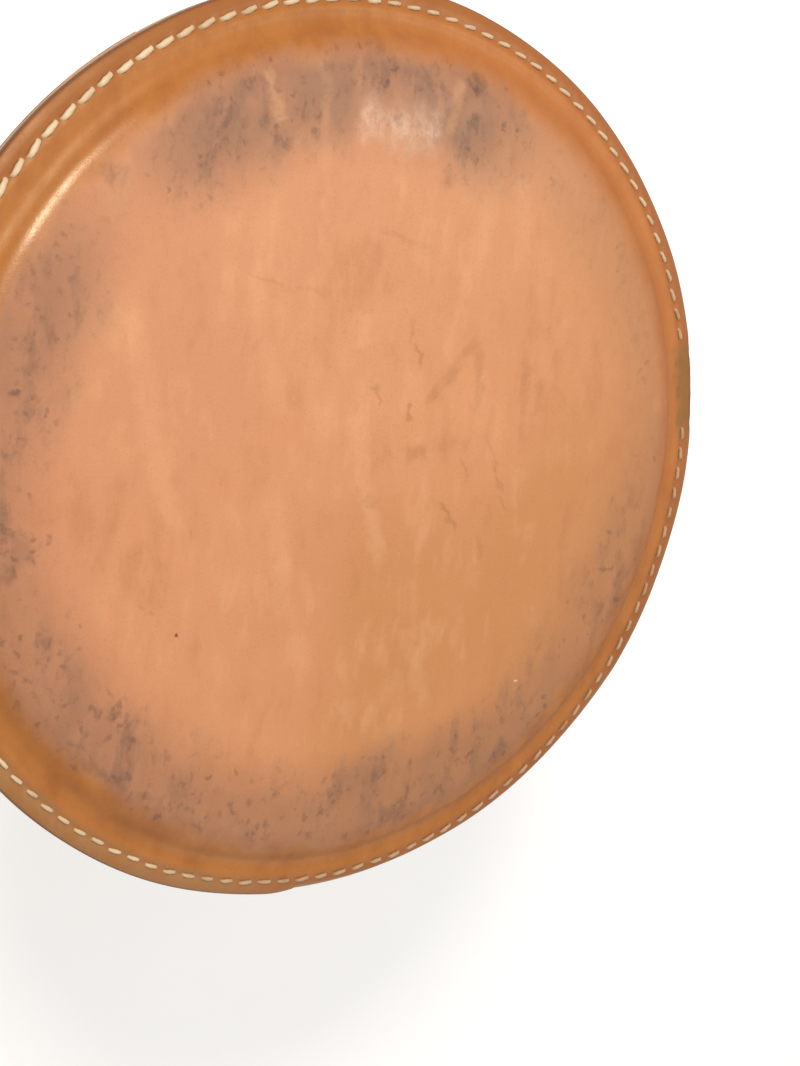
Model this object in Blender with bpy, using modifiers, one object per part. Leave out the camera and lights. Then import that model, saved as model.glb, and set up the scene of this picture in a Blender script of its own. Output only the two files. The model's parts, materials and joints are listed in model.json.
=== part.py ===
"""A folding three leg field stool with a round, hand sewn leather seat.

The seat is a leather sandwich: a moulded top leather, a felt pad and a plywood board over a
bottom leather, sewn together round the rim.  Three leather pockets under the rim take the tips
of three ash legs.  The legs cross at a six sided hub, each turning on its own radial bolt, so
that they swing together into one bundle once the seat is lifted off their tips.

Metres, +Z up.  The feet stand on z = 0, and the origin is under the middle of the stool's box.
"""
from math import atan2, cos, hypot, pi, radians, sin, sqrt, tan

import bmesh
import bpy
from mathutils import Matrix, Vector

for old in list(bpy.data.objects):
    bpy.data.objects.remove(old, do_unlink=True)

# ---------------------------------------------------------------- driving dimensions
MM = 0.001
GAP = 0.3 * MM                      # clearance between touching pieces
LEGS = 3

SEAT_TOP_HEIGHT = 0.455             # crown of the seat above the floor
SEAT_RADIUS = 163.1 * MM            # cut edge of the top leather
STITCH_RADIUS = 156.6 * MM          # ring of stitches, 6.5 mm inside the edge
CROWN = 9.6 * MM                    # crown above the stitch line
TOP_LEATHER = 3.2 * MM
BOTTOM_LEATHER = 2.6 * MM
POCKET_LEATHER = 2.4 * MM
BOARD_RADIUS = 139.0 * MM
BOARD_THICKNESS = 8.0 * MM
BOARD_TOP = 2.6 * MM                # above the stitch line
FELT_RADIUS = 136.0 * MM

LEG_TILT = radians(33.0)            # from upright, in the plane across the leg's bolt
TIP_RADIUS = 126.0 * MM             # leg tips from the seat's axis
LEG_RADIUS = 13.2 * MM              # at the pivot
LEG_OFFSET = 22.1 * MM              # leg's middle plane from the hub's axis
LEG_FLAT = 10.0 * MM                # half the leg's thickness between its pivot flats
CAP_RADIUS = 12.2 * MM
CAP_ROUND = 3.0 * MM
FOOT_RADIUS = 16.5 * MM
STUD_RADIUS = 4.0 * MM              # M8
BUSH_RADIUS = 6.0 * MM
HUB_FLAT = 10.0 * MM                # hub's axis to each of its six faces
HUB_HEIGHT = 26.0 * MM

POCKET_HALF_ANGLE = radians(13.0)   # half of the rim that one pocket is sewn along
POCKET_DEPTH = 38.0 * MM            # how far a tip goes into its pocket
WORN_STITCHES = (radians(3.4), radians(15.6))   # rubbed away here, over the first pocket
WORN_EDGE = (radians(267.8), radians(328.0))    # the cut edge is frayed back here
WORN_EDGE_DEPTH = 2.5 * MM

# ---------------------------------------------------------------- worked out from them
STITCH_HEIGHT = SEAT_TOP_HEIGHT - CROWN
BOARD_BOTTOM = BOARD_TOP - BOARD_THICKNESS
SEAT_UNDERSIDE = BOARD_BOTTOM - GAP - BOTTOM_LEATHER
TIP_CORNER = (CAP_RADIUS - CAP_ROUND) * sin(LEG_TILT) + CAP_ROUND * (1 - cos(LEG_TILT))
TIP_HEIGHT = STITCH_HEIGHT + SEAT_UNDERSIDE - 1.0 * MM - TIP_CORNER
TIP_REACH = sqrt(TIP_RADIUS ** 2 - LEG_OFFSET ** 2)
LEG_UPPER = TIP_REACH / sin(LEG_TILT)                   # pivot to tip
LEG_LOWER = TIP_HEIGHT / cos(LEG_TILT) - LEG_UPPER      # pivot to floor
HUB_Z = LEG_LOWER * cos(LEG_TILT)
FOOT_REACH = hypot(LEG_LOWER * sin(LEG_TILT), LEG_OFFSET)
TIP_TO_STUD = atan2(TIP_REACH, LEG_OFFSET)
FOOT_TO_STUD = atan2(LEG_LOWER * sin(LEG_TILT), LEG_OFFSET)
STUD_AZIMUTHS = [pi / 2 + FOOT_TO_STUD + k * 2 * pi / LEGS for k in range(LEGS)]
SEAT_Y = -(FOOT_REACH + FOOT_RADIUS / cos(LEG_TILT) - SEAT_RADIUS) / 2

# The first pocket sits at this angle of the seat's own marks, and turns the seat with it.
POCKET_SWING = atan2(LEG_OFFSET, TIP_REACH)             # leg's plan direction from radial
FIRST_TIP_ON_SEAT = radians(12.8)
SEAT_TURN = STUD_AZIMUTHS[1] + TIP_TO_STUD - 2 * pi - FIRST_TIP_ON_SEAT

LEATHER = ((0.62, 0.36, 0.19), 0.45, 0.0)
PALE_LEATHER = ((0.55, 0.37, 0.22), 0.7, 0.0)
FELT = ((0.33, 0.30, 0.27), 0.95, 0.0)
PLYWOOD = ((0.70, 0.53, 0.34), 0.7, 0.0)
THREAD = ((0.83, 0.74, 0.58), 0.8, 0.0)
ASH = ((0.62, 0.43, 0.25), 0.5, 0.0)
BRASS = ((0.68, 0.50, 0.22), 0.35, 1.0)
STEEL = ((0.55, 0.55, 0.54), 0.35, 1.0)
RUBBER = ((0.05, 0.045, 0.04), 0.8, 0.0)


# ---------------------------------------------------------------- helpers
def new_collection(name):
    made = bpy.data.collections.new(name)
    bpy.context.scene.collection.children.link(made)
    return made


PARTS = new_collection("three_leg_stool")
CUTTERS = new_collection("cutters")


def empty(name, location, turn=(0, 0, 0), parent=None):
    made = bpy.data.objects.new(name, None)
    PARTS.objects.link(made)
    made.location = location
    made.rotation_euler = turn
    made.parent = parent
    return made


def finish(obj, look):
    colour, roughness, metallic = look
    material = bpy.data.materials.new(obj.name + "_material")
    material.use_nodes = True
    shader = material.node_tree.nodes["Principled BSDF"]
    shader.inputs["Base Color"].default_value = (*colour, 1)
    shader.inputs["Roughness"].default_value = roughness
    shader.inputs["Metallic"].default_value = metallic
    obj.data.materials.append(material)
    return obj


def place(name, mesh, look, parent=None, turn=(0, 0, 0)):
    """A part, or a cutter where no look is given."""
    obj = bpy.data.objects.new(name, mesh)
    (PARTS if look else CUTTERS).objects.link(obj)
    obj.parent = parent
    obj.rotation_euler = turn
    if look:
        return finish(obj, look)
    obj.hide_render = True
    obj.display_type = "WIRE"
    return obj


def turned(name, profile, look, parent=None, turn=(0, 0, 0), steps=24, ring=False):
    """A profile of (radius, height) turned round Z; its outer side runs top to bottom."""
    mesh = bpy.data.meshes.new(name)
    edges = [(i, i + 1) for i in range(len(profile) - 1)]
    if ring:
        edges.append((len(profile) - 1, 0))
    mesh.from_pydata([(r, 0, z) for r, z in profile], edges, [])
    obj = place(name, mesh, look, parent, turn)
    screw = obj.modifiers.new("turn", "SCREW")
    screw.steps = steps
    screw.render_steps = steps
    screw.use_merge_vertices = True
    screw.merge_threshold = 0.00001
    screw.use_smooth_shade = True
    return obj


def tube(name, inner, outer, low, high, look, parent, turn=(0, 0, 0), steps=20):
    profile = [(outer, high), (outer, low), (inner, low), (inner, high)]
    return turned(name, profile, look, parent, turn, steps, ring=True)


def box_mesh(name, low, high):
    bm = bmesh.new()
    bmesh.ops.create_cube(bm, size=1)
    for vert in bm.verts:
        vert.co = [a + (b - a) * (c + 0.5) for a, b, c in zip(low, high, vert.co)]
    mesh = bpy.data.meshes.new(name)
    bm.to_mesh(mesh)
    bm.free()
    return mesh


def prism_mesh(name, sides, flat, low, high):
    """An upright prism whose faces lie `flat` from its axis, the first of them towards +X."""
    bm = bmesh.new()
    corner = flat / cos(pi / sides)
    bmesh.ops.create_cone(bm, cap_ends=True, segments=sides, radius1=corner, radius2=corner,
                          depth=high - low)
    first_corner = pi / 2
    bmesh.ops.rotate(bm, verts=bm.verts, matrix=turn_z(pi / sides - first_corner))
    bmesh.ops.translate(bm, verts=bm.verts, vec=(0, 0, (high + low) / 2))
    mesh = bpy.data.meshes.new(name)
    bm.to_mesh(mesh)
    bm.free()
    return mesh


def turn_z(angle):
    return Matrix.Rotation(angle, 3, "Z")


def cut(obj, cutter, operation="DIFFERENCE"):
    modifier = obj.modifiers.new("cut_" + cutter.name, "BOOLEAN")
    modifier.operation = operation
    modifier.object = cutter


def circle_point(radius, angle, z=0.0):
    return Vector((radius * cos(angle), radius * sin(angle), z))


def height_at(profile, radius):
    """Height of a (radius, height) profile, read along straight lines."""
    for (r0, z0), (r1, z1) in zip(profile, profile[1:]):
        if r0 <= radius <= r1:
            return z0 + (z1 - z0) * (radius - r0) / (r1 - r0)
    return profile[-1][1]


def lowered(profile, drop):
    return [(r, z - drop) for r, z in profile]


# ---------------------------------------------------------------- seat
# Heights from the stitch line: a low crown over the board, a round shoulder where the leather
# is moulded over the board's edge, a valley, a small ridge, the stitch line, the drooping edge.
SEAT_TOP = [(0, CROWN)] + [(r * MM, z * MM) for r, z in (
    (60, 9.4), (104, 9.0), (124, 8.5), (133, 7.9), (138.5, 6.8), (142, 5.4), (146, 3.0),
    (149.5, 1.0), (152, 0.3), (154, 0.45), (156.6, 0.0), (159.5, -0.6), (163.1, -2.2))]
SEAT_BOTTOM = [(r * MM, z * MM) for r, z in (
    (0, -5.7), (139.5, -5.7), (147, -4.0), (152, -3.4), (156.6, -3.6), (162.4, -5.5))]

seat_center = empty("seat_center", (0, SEAT_Y, STITCH_HEIGHT), (0, 0, SEAT_TURN))


def leather_disc(name, top, thickness, look):
    under = lowered(top, thickness)
    return turned(name, top + under[::-1], look, seat_center, steps=54)


def worn_edge_cutter():
    """A thin crescent outside the rim, as deep as the edge is worn, fading out at its far end."""
    start, end = WORN_EDGE
    steps = 14
    outline = []
    for k in range(steps + 1):
        share = k / steps
        angle = start + (end - start) * share
        depth = WORN_EDGE_DEPTH * (1 - share ** 3)
        outline.append(circle_point(SEAT_RADIUS - depth, angle))
    outer = [circle_point(SEAT_RADIUS + 6 * MM, start + (end - start) * k / steps)
             for k in range(steps + 1)]
    bm = bmesh.new()
    face = bm.faces.new([bm.verts.new(p) for p in outline + outer[::-1]])
    bmesh.ops.translate(bm, verts=bm.verts, vec=(0, 0, -12 * MM))
    side = bmesh.ops.extrude_face_region(bm, geom=[face])
    risen = [v for v in side["geom"] if isinstance(v, bmesh.types.BMVert)]
    bmesh.ops.translate(bm, verts=risen, vec=(0, 0, 24 * MM))
    bmesh.ops.recalc_face_normals(bm, faces=bm.faces)
    mesh = bpy.data.meshes.new("worn_edge_cutter")
    bm.to_mesh(mesh)
    bm.free()
    return place("worn_edge_cutter", mesh, None, seat_center)


def felt_pad():
    underside = lowered(SEAT_TOP, TOP_LEATHER + GAP)
    crown = [(r, z) for r, z in underside if r < FELT_RADIUS]
    low = BOARD_TOP + GAP
    profile = crown + [(FELT_RADIUS, height_at(underside, FELT_RADIUS)), (FELT_RADIUS, low), (0, low)]
    return turned("seat_felt_pad", profile, FELT, seat_center, steps=36)


def board():
    edge = 2.5 * MM
    profile = [(0, BOARD_TOP), (BOARD_RADIUS - edge, BOARD_TOP),
               (BOARD_RADIUS - edge * 0.3, BOARD_TOP - edge * 0.3), (BOARD_RADIUS, BOARD_TOP - edge),
               (BOARD_RADIUS, BOARD_BOTTOM + 1 * MM), (BOARD_RADIUS - 1 * MM, BOARD_BOTTOM),
               (0, BOARD_BOTTOM)]
    return turned("seat_board", profile, PLYWOOD, seat_center, steps=48)


def stitching():
    """The waxed thread as one round cord along the stitch line, missing where it is rubbed away."""
    thread_radius = 0.8 * MM
    points = 90
    height = GAP + 0.2 * MM + thread_radius
    start, end = WORN_STITCHES[1], 2 * pi + WORN_STITCHES[0]
    curve = bpy.data.curves.new("seat_edge_stitching", "CURVE")
    curve.dimensions = "3D"
    curve.bevel_depth = thread_radius
    curve.bevel_resolution = 0
    curve.use_fill_caps = True
    spline = curve.splines.new("POLY")
    spline.points.add(points - 1)
    for k, point in enumerate(spline.points):
        angle = start + (end - start) * k / (points - 1)
        point.co = (*circle_point(STITCH_RADIUS, angle, height), 1)
    return place("seat_edge_stitching", curve, THREAD, seat_center)


def pocket_mesh():
    """A leather funnel: flat under the rim, then drawn in to a half ring round the leg.

    It is modelled round the seat's axis with the leg's tip towards +X, and the leg leaning
    POCKET_SWING further round.
    """
    rim_turns, wall_rows = 14, 5
    underside = lowered(SEAT_BOTTOM, BOTTOM_LEATHER + GAP + POCKET_LEATHER / 2)
    out = Vector((cos(POCKET_SWING), sin(POCKET_SWING), 0))
    across = Vector((-out.y, out.x, 0))
    up = Vector((0, 0, 1))
    leg_up = out * sin(LEG_TILT) + up * cos(LEG_TILT)
    leg_out = out * cos(LEG_TILT) - up * sin(LEG_TILT)
    tip = Vector((TIP_RADIUS, 0, TIP_HEIGHT - STITCH_HEIGHT))
    ring_centre = tip - leg_up * POCKET_DEPTH
    ring_radius = CAP_RADIUS + 1.0 * MM + POCKET_LEATHER / 2
    fold = 153.0 * MM
    middle = atan2(out.y * (fold - TIP_RADIUS), fold)
    bm = bmesh.new()
    grid = []
    for i in range(rim_turns + 1):
        u = 2 * i / rim_turns - 1
        angle = middle + POCKET_HALF_ANGLE * u
        wrap = radians(88) * u
        edge = circle_point(162 * MM, angle, height_at(underside, 162 * MM))
        high = circle_point(fold, angle, height_at(underside, fold))
        low = ring_centre + ring_radius * (across * sin(wrap) + leg_out * cos(wrap))
        bulge = (leg_out * cos(wrap) + across * sin(wrap) * 0.4) * 2.5 * MM
        column = [edge, (edge + high) / 2]
        for j in range(wall_rows + 1):
            share = j / wall_rows
            column.append(high.lerp(low, share) + bulge * sin(pi * share))
        grid.append([bm.verts.new(p) for p in column])
    for left, right in zip(grid, grid[1:]):
        for j in range(len(left) - 1):
            bm.faces.new((left[j], left[j + 1], right[j + 1], right[j]))
    bmesh.ops.recalc_face_normals(bm, faces=bm.faces)
    mesh = bpy.data.meshes.new("leg_pocket")
    bm.to_mesh(mesh)
    bm.free()
    mesh.shade_smooth()
    return mesh


def pockets():
    mesh = pocket_mesh()
    for k, stud in enumerate(STUD_AZIMUTHS):
        turn = stud + TIP_TO_STUD - SEAT_TURN
        obj = place(f"leg_pocket_{k + 1}", mesh.copy(), PALE_LEATHER, seat_center, (0, 0, turn))
        shell = obj.modifiers.new("thickness", "SOLIDIFY")
        shell.thickness = POCKET_LEATHER
        shell.offset = 0


top = leather_disc("seat_top_leather", SEAT_TOP, TOP_LEATHER, LEATHER)
cut(top, worn_edge_cutter())
felt_pad()
board()
leather_disc("seat_bottom_leather", SEAT_BOTTOM, BOTTOM_LEATHER, PALE_LEATHER)
stitching()
pockets()

# ---------------------------------------------------------------- hub
hub_center = empty("hub_center", (0, SEAT_Y, HUB_Z))
STUD_START = 6.0 * MM
WASHER = 1.5 * MM
WASHER_RADIUS = 8.5 * MM
LEG_INNER = LEG_OFFSET - LEG_FLAT
LEG_OUTER = LEG_OFFSET + LEG_FLAT
NUT_START = LEG_OUTER + GAP + WASHER + GAP
NUT_FLAT = 6.5 * MM
STUD_END = NUT_START + 5.5 * MM


def hub():
    mesh = prism_mesh("hub", 6, HUB_FLAT, -HUB_HEIGHT / 2, HUB_HEIGHT / 2)
    obj = place("hub", mesh, STEEL, hub_center, (0, 0, STUD_AZIMUTHS[0]))
    bevel = obj.modifiers.new("chamfer", "BEVEL")
    bevel.width = 1.0 * MM
    bevel.segments = 1
    return obj


def nut_blank():
    """A domed nut before its six flats are cut; the blind hole takes the end of the stud."""
    hole = STUD_RADIUS + GAP
    bottom = STUD_END + 0.6 * MM
    dome_base = NUT_START + 6.0 * MM
    dome = 6.0 * MM
    rings = 3
    profile = [(0, dome_base + dome)]
    profile += [(dome * sin(pi / 2 * k / rings), dome_base + dome * cos(pi / 2 * k / rings))
                for k in range(1, rings + 1)]
    profile += [(7.3 * MM, dome_base - 0.6 * MM), (7.6 * MM, NUT_START + 0.5 * MM),
                (7.0 * MM, NUT_START), (hole, NUT_START), (hole, bottom), (0, bottom)]
    return profile


def hub_fittings(k, stud_azimuth, hub_obj):
    """The bolt, washers and domed nut of one leg, along the bolt's own Z."""
    along = empty(f"stud_axis_{k}", (0, 0, 0), (0, pi / 2, stud_azimuth), hub_center)
    bore_reach = (STUD_START - GAP, HUB_FLAT + 3 * MM)
    bore = turned(f"stud_bore_{k}",
                  [(0, bore_reach[1]), (STUD_RADIUS + GAP, bore_reach[1]),
                   (STUD_RADIUS + GAP, bore_reach[0]), (0, bore_reach[0])],
                  None, along, steps=20)
    cut(hub_obj, bore)
    turned(f"pivot_bolt_{k}",
           [(0, STUD_END), (STUD_RADIUS - 0.6 * MM, STUD_END), (STUD_RADIUS, STUD_END - 0.6 * MM),
            (STUD_RADIUS, STUD_START), (0, STUD_START)], STEEL, along, steps=20)
    inner = (HUB_FLAT + GAP, HUB_FLAT + GAP + WASHER)
    outer = (LEG_OUTER + GAP, LEG_OUTER + GAP + WASHER)
    hole = STUD_RADIUS + GAP
    tube(f"inner_washer_{k}", hole, WASHER_RADIUS, *inner, BRASS, along)
    tube(f"outer_washer_{k}", hole, WASHER_RADIUS, *outer, BRASS, along)
    nut = turned(f"dome_nut_{k}", nut_blank(), BRASS, along, steps=18)
    flats = prism_mesh(f"nut_flats_{k}", 6, NUT_FLAT, NUT_START - 5 * MM, NUT_START + 30 * MM)
    cut(nut, place(f"nut_flats_{k}", flats, None, along), "INTERSECT")


# ---------------------------------------------------------------- legs
CAP_LENGTH = 22 * MM
CAP_WALL = 1.3 * MM
NECK_RADIUS = 9.9 * MM              # wood inside the ferrule and the rubber foot
FERRULE = (LEG_LOWER - 89.7 * MM, LEG_LOWER - 47.5 * MM)    # down the leg from the pivot
SOLE_DEPTH = 20 * MM                # wood's end to where the leg's axis meets the floor


def leg_profile():
    neck = CAP_RADIUS - CAP_WALL - GAP
    shoulder = LEG_UPPER - CAP_LENGTH - GAP
    return [(0, LEG_UPPER - CAP_WALL - GAP), (neck, LEG_UPPER - CAP_WALL - GAP), (neck, shoulder),
            (CAP_RADIUS, shoulder - 0.5 * MM), (LEG_RADIUS * 0.97, 70 * MM), (LEG_RADIUS, 32 * MM),
            (LEG_RADIUS, -32 * MM), (LEG_RADIUS * 0.97, -80 * MM), (11.9 * MM, 2 * MM - FERRULE[0]),
            (11.4 * MM, -FERRULE[0] + GAP), (NECK_RADIUS, -FERRULE[0] + GAP),
            (NECK_RADIUS, SOLE_DEPTH - LEG_LOWER + 1 * MM),
            (NECK_RADIUS - 1 * MM, SOLE_DEPTH - LEG_LOWER), (0, SOLE_DEPTH - LEG_LOWER)]


def cap_profile():
    centre = (CAP_RADIUS - CAP_ROUND, LEG_UPPER - CAP_ROUND)
    arc = [(centre[0] + CAP_ROUND * sin(pi / 6 * k), centre[1] + CAP_ROUND * cos(pi / 6 * k))
           for k in range(4)]
    inside = CAP_RADIUS - CAP_WALL
    low = LEG_UPPER - CAP_LENGTH
    return [(0, LEG_UPPER)] + arc + [(CAP_RADIUS, low), (inside, low),
                                     (inside, LEG_UPPER - CAP_WALL), (0, LEG_UPPER - CAP_WALL)]


def ferrule_profile():
    inside, outside = NECK_RADIUS + GAP, 11.9 * MM
    high, low = -FERRULE[0], -FERRULE[1]
    bead = 1.2 * MM
    return [(outside - 0.5 * MM, high), (outside + bead * 0.5, high - bead), (outside, high - 2 * bead),
            (outside, low + 2 * bead), (outside + bead, low + bead), (outside, low), (inside, low),
            (inside, high)]


def foot_profile():
    """A rubber boot on the leg's end, long enough below to be cut flat at the floor."""
    inside = NECK_RADIUS + GAP
    cavity = SOLE_DEPTH - GAP - LEG_LOWER
    top_edge = 47 * MM - LEG_LOWER
    flare = SOLE_DEPTH - 6 * MM - LEG_LOWER
    below = -LEG_LOWER - FOOT_RADIUS * tan(LEG_TILT) - 2 * MM
    return [(0, cavity), (inside, cavity), (inside, top_edge), (13.0 * MM, top_edge),
            (14.2 * MM, top_edge - 2 * MM), (14.6 * MM, flare + 3 * MM),
            (FOOT_RADIUS, flare), (FOOT_RADIUS, below), (0, below)]


def flat_cutter(k, side, axis):
    low = (LEG_FLAT, -20 * MM, -25 * MM)
    high = (LEG_FLAT + 10 * MM, 20 * MM, 25 * MM)
    name = f"leg_flat_{k}_{side}"
    turn = 0 if side == "outer" else pi
    return place(name, box_mesh(name, low, high), None, axis, (0, 0, turn))


def leg(k, stud_azimuth, floor):
    """One leg and what it carries; local X is its bolt's axis and local Z runs up the leg."""
    offset = circle_point(LEG_OFFSET, stud_azimuth)
    axis = empty(f"leg_pivot_{k}", offset, (-LEG_TILT, 0, stud_azimuth), hub_center)
    wood = turned(f"leg_{k}", leg_profile(), ASH, axis)
    across = (0, pi / 2, 0)
    reach = LEG_RADIUS + 3 * MM
    bore = turned(f"bush_bore_{k}",
                  [(0, reach), (BUSH_RADIUS + GAP, reach), (BUSH_RADIUS + GAP, -reach), (0, -reach)],
                  None, axis, across, steps=20)
    for cutter in (flat_cutter(k, "outer", axis), flat_cutter(k, "inner", axis), bore):
        cut(wood, cutter)
    bush_half = LEG_FLAT - 0.1 * MM
    tube(f"pivot_bush_{k}", STUD_RADIUS + GAP, BUSH_RADIUS, -bush_half, bush_half, BRASS, axis, across)
    turned(f"top_cap_{k}", cap_profile(), BRASS, axis)
    turned(f"foot_ferrule_{k}", ferrule_profile(), BRASS, axis, ring=True)
    boot = turned(f"rubber_foot_{k}", foot_profile(), RUBBER, axis, steps=28)
    cut(boot, floor)


hub_object = hub()
floor_cutter = place("floor_cutter", box_mesh("floor_cutter", (-0.5, -0.5, -0.2), (0.5, 0.5, 0)), None)
for number, azimuth in enumerate(STUD_AZIMUTHS, start=1):
    hub_fittings(number, azimuth, hub_object)
    leg(number, azimuth, floor_cutter)
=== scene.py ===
# %% [markdown]
# # Dressing a folding field stool
#
# The frame that loads here is a plain model of a three leg stool: a round seat of two leathers
# sewn over a board, and three crossed legs on a hub.  It moves and fits, but it has no looks.
# This lesson gives it those, one piece after another.  The seat matters most, because saddle
# leather that has been sat on for years shows more than any other material here.

# %% Load the frame
import json
from math import atan2, cos, degrees, exp, hypot, pi, radians, sin, tan

import bmesh
import bpy
from mathutils import Matrix, Vector, noise


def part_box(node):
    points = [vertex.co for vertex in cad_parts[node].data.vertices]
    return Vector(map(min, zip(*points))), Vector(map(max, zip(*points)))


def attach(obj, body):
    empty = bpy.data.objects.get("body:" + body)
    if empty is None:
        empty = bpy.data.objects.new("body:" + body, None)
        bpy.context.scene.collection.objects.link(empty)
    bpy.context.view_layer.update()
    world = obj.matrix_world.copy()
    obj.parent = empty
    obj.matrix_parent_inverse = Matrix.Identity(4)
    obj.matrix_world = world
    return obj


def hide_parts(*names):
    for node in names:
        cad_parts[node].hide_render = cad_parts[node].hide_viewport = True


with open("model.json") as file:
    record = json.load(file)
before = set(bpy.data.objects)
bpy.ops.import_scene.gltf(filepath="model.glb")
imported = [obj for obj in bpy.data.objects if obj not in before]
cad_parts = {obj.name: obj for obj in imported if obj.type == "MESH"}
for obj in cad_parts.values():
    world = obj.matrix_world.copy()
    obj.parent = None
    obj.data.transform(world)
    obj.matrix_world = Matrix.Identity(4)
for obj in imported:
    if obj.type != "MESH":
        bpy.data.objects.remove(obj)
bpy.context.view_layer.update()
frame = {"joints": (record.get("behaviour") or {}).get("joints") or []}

# %% [markdown]
# ## Sizes
#
# Every size comes from the frame, or is a leather worker's own measure given here by name.  The
# legs' hinges say where the hub is and how far the legs lean, and the seat's box gives its axis
# and radius.  The seat's own drawing counts its angles from a mark that lies a little clockwise
# of the leg tip in pocket 2, so the seat frame below is turned to it.

# %% Sizes from the frame
MM = 0.001
joints = {joint["name"]: joint for joint in frame["joints"]}
LEG_TILT = radians(joints["leg_1_fold"]["range_deg"][1])
HUB_Z = joints["leg_1_fold"]["pos_m"][2]
seat_low, seat_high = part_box("seat_bottom_leather")
SEAT_AXIS = Vector(((seat_low.x + seat_high.x) / 2, (seat_low.y + seat_high.y) / 2, 0))
CROWN = 9.6 * MM                                  # crown above the stitch line
STITCH_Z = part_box("seat_top_leather")[1].z - CROWN
SEAT_R = 163.1 * MM
STITCH_R = 156.6 * MM
STITCHES = 123
TOP_LEATHER = 3.2 * MM
BOTTOM_LEATHER = 2.6 * MM
GAP = 0.3 * MM
hub_point = Vector((SEAT_AXIS.x, SEAT_AXIS.y, HUB_Z))
studs = {}
for number in (1, 2, 3):
    reach = Vector(joints[f"leg_{number}_fold"]["pos_m"]) - hub_point
    studs[number] = atan2(reach.y, reach.x)
LEG_OFFSET = reach.length
LEG_LOWER = HUB_Z / cos(LEG_TILT)
CAP_R = 12.2 * MM
CAP_ROUND = 3.0 * MM
tip_corner = (CAP_R - CAP_ROUND) * sin(LEG_TILT) + CAP_ROUND * (1 - cos(LEG_TILT))
LEG_UPPER = (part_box("top_cap_1")[1].z - tip_corner - HUB_Z) / cos(LEG_TILT)
TIP_REACH = LEG_UPPER * sin(LEG_TILT)
TIP_RADIUS = hypot(TIP_REACH, LEG_OFFSET)
TIP_TO_STUD = atan2(TIP_REACH, LEG_OFFSET)
FIRST_TIP_ON_SEAT = radians(12.8)
SEAT_TURN = studs[2] + TIP_TO_STUD - FIRST_TIP_ON_SEAT
seat_frame = Matrix.Translation((SEAT_AXIS.x, SEAT_AXIS.y, STITCH_Z)) @ Matrix.Rotation(SEAT_TURN, 4, "Z")
print(f"seat turned {degrees(SEAT_TURN) % 360:.1f} deg, legs {1000 * (LEG_UPPER + LEG_LOWER):.0f} mm long,",
      f"leaning {degrees(LEG_TILT):.1f} deg")

# %% [markdown]
# ## Camera, light and floor
#
# The camera stands close above one side of the seat and is rolled, as a hand-held camera over a
# small object often is.  It aims at a point just off the seat's middle.  Light comes from a broad
# soft window at the upper left, a second one further right that glides over the polished crown,
# and a pale room all round that keeps the shadows open.  The camera's place, roll and lens came
# from a separate fitting script.

# %% Camera
CAMERA_FROM = radians(159.86)       # round the seat, from its first mark
CAMERA_UP = radians(54.47)
CAMERA_ROLL = radians(111.77)
CAMERA_FAR = 709.9 * MM
aim = seat_frame @ Vector((27.2 * MM, -27.4 * MM, 0))
back = seat_frame.to_3x3() @ Vector((cos(CAMERA_FROM) * cos(CAMERA_UP), sin(CAMERA_FROM) * cos(CAMERA_UP),
                                     sin(CAMERA_UP)))
camera_data = bpy.data.cameras.new("camera")
camera_data.lens = 66.17
camera_data.sensor_width = 36
camera_data.clip_start = 0.01
camera = bpy.data.objects.new("camera", camera_data)
bpy.context.scene.collection.objects.link(camera)
camera.matrix_world = (Matrix.Translation(aim + back * CAMERA_FAR)
                       @ back.to_track_quat("Z", "Y").to_matrix().to_4x4()
                       @ Matrix.Rotation(CAMERA_ROLL, 4, "Z"))
bpy.context.scene.camera = camera
print("camera", [round(c, 3) for c in camera.matrix_world.translation])


# %% Lights
def soft_window(name, azimuth, elevation, distance, size, power, colour):
    """An area light that looks at the seat; azimuth counts round the seat from its first mark."""
    light = bpy.data.lights.new(name, "AREA")
    light.shape = "RECTANGLE"
    light.size, light.size_y = size
    light.energy = power
    light.color = colour
    lamp = bpy.data.objects.new(name, light)
    bpy.context.scene.collection.objects.link(lamp)
    away = Vector((cos(azimuth) * cos(elevation), sin(azimuth) * cos(elevation), sin(elevation)))
    away = seat_frame.to_3x3() @ away
    centre = seat_frame.translation
    lamp.matrix_world = (Matrix.Translation(centre + away * distance)
                         @ away.to_track_quat("Z", "Y").to_matrix().to_4x4())
    return lamp


soft_window("window", radians(128), radians(48), 1.5, (0.3, 0.24), 17.0, (1.0, 0.965, 0.9))
soft_window("far_window", radians(18), radians(56), 1.5, (0.26, 0.2), 6.5, (1.0, 0.985, 0.97))
soft_window("low_fill", radians(290), radians(20), 2.2, (1.4, 0.8), 5, (1.0, 0.99, 0.98))
room = bpy.data.worlds.new("pale_room")
room.use_nodes = True
room.node_tree.nodes["Background"].inputs["Color"].default_value = (1.0, 0.99, 0.975, 1)
room.node_tree.nodes["Background"].inputs["Strength"].default_value = 0.7
bpy.context.scene.world = room
bpy.context.scene.view_settings.view_transform = "Standard"
print("three soft windows and a pale room")

# %% [markdown]
# ## Shader arithmetic
#
# A finish is mostly arithmetic: where a stain ends, how dark it is, how rough the worn part is.
# Written as nodes that is hard to read, so `Value` wraps a socket and turns ordinary Python
# expressions into Math nodes.  Colours must not go through Math nodes, which would turn them
# grey, so they are mixed by `Finish.blend`.  Every other node comes from `Finish.node`.


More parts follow.
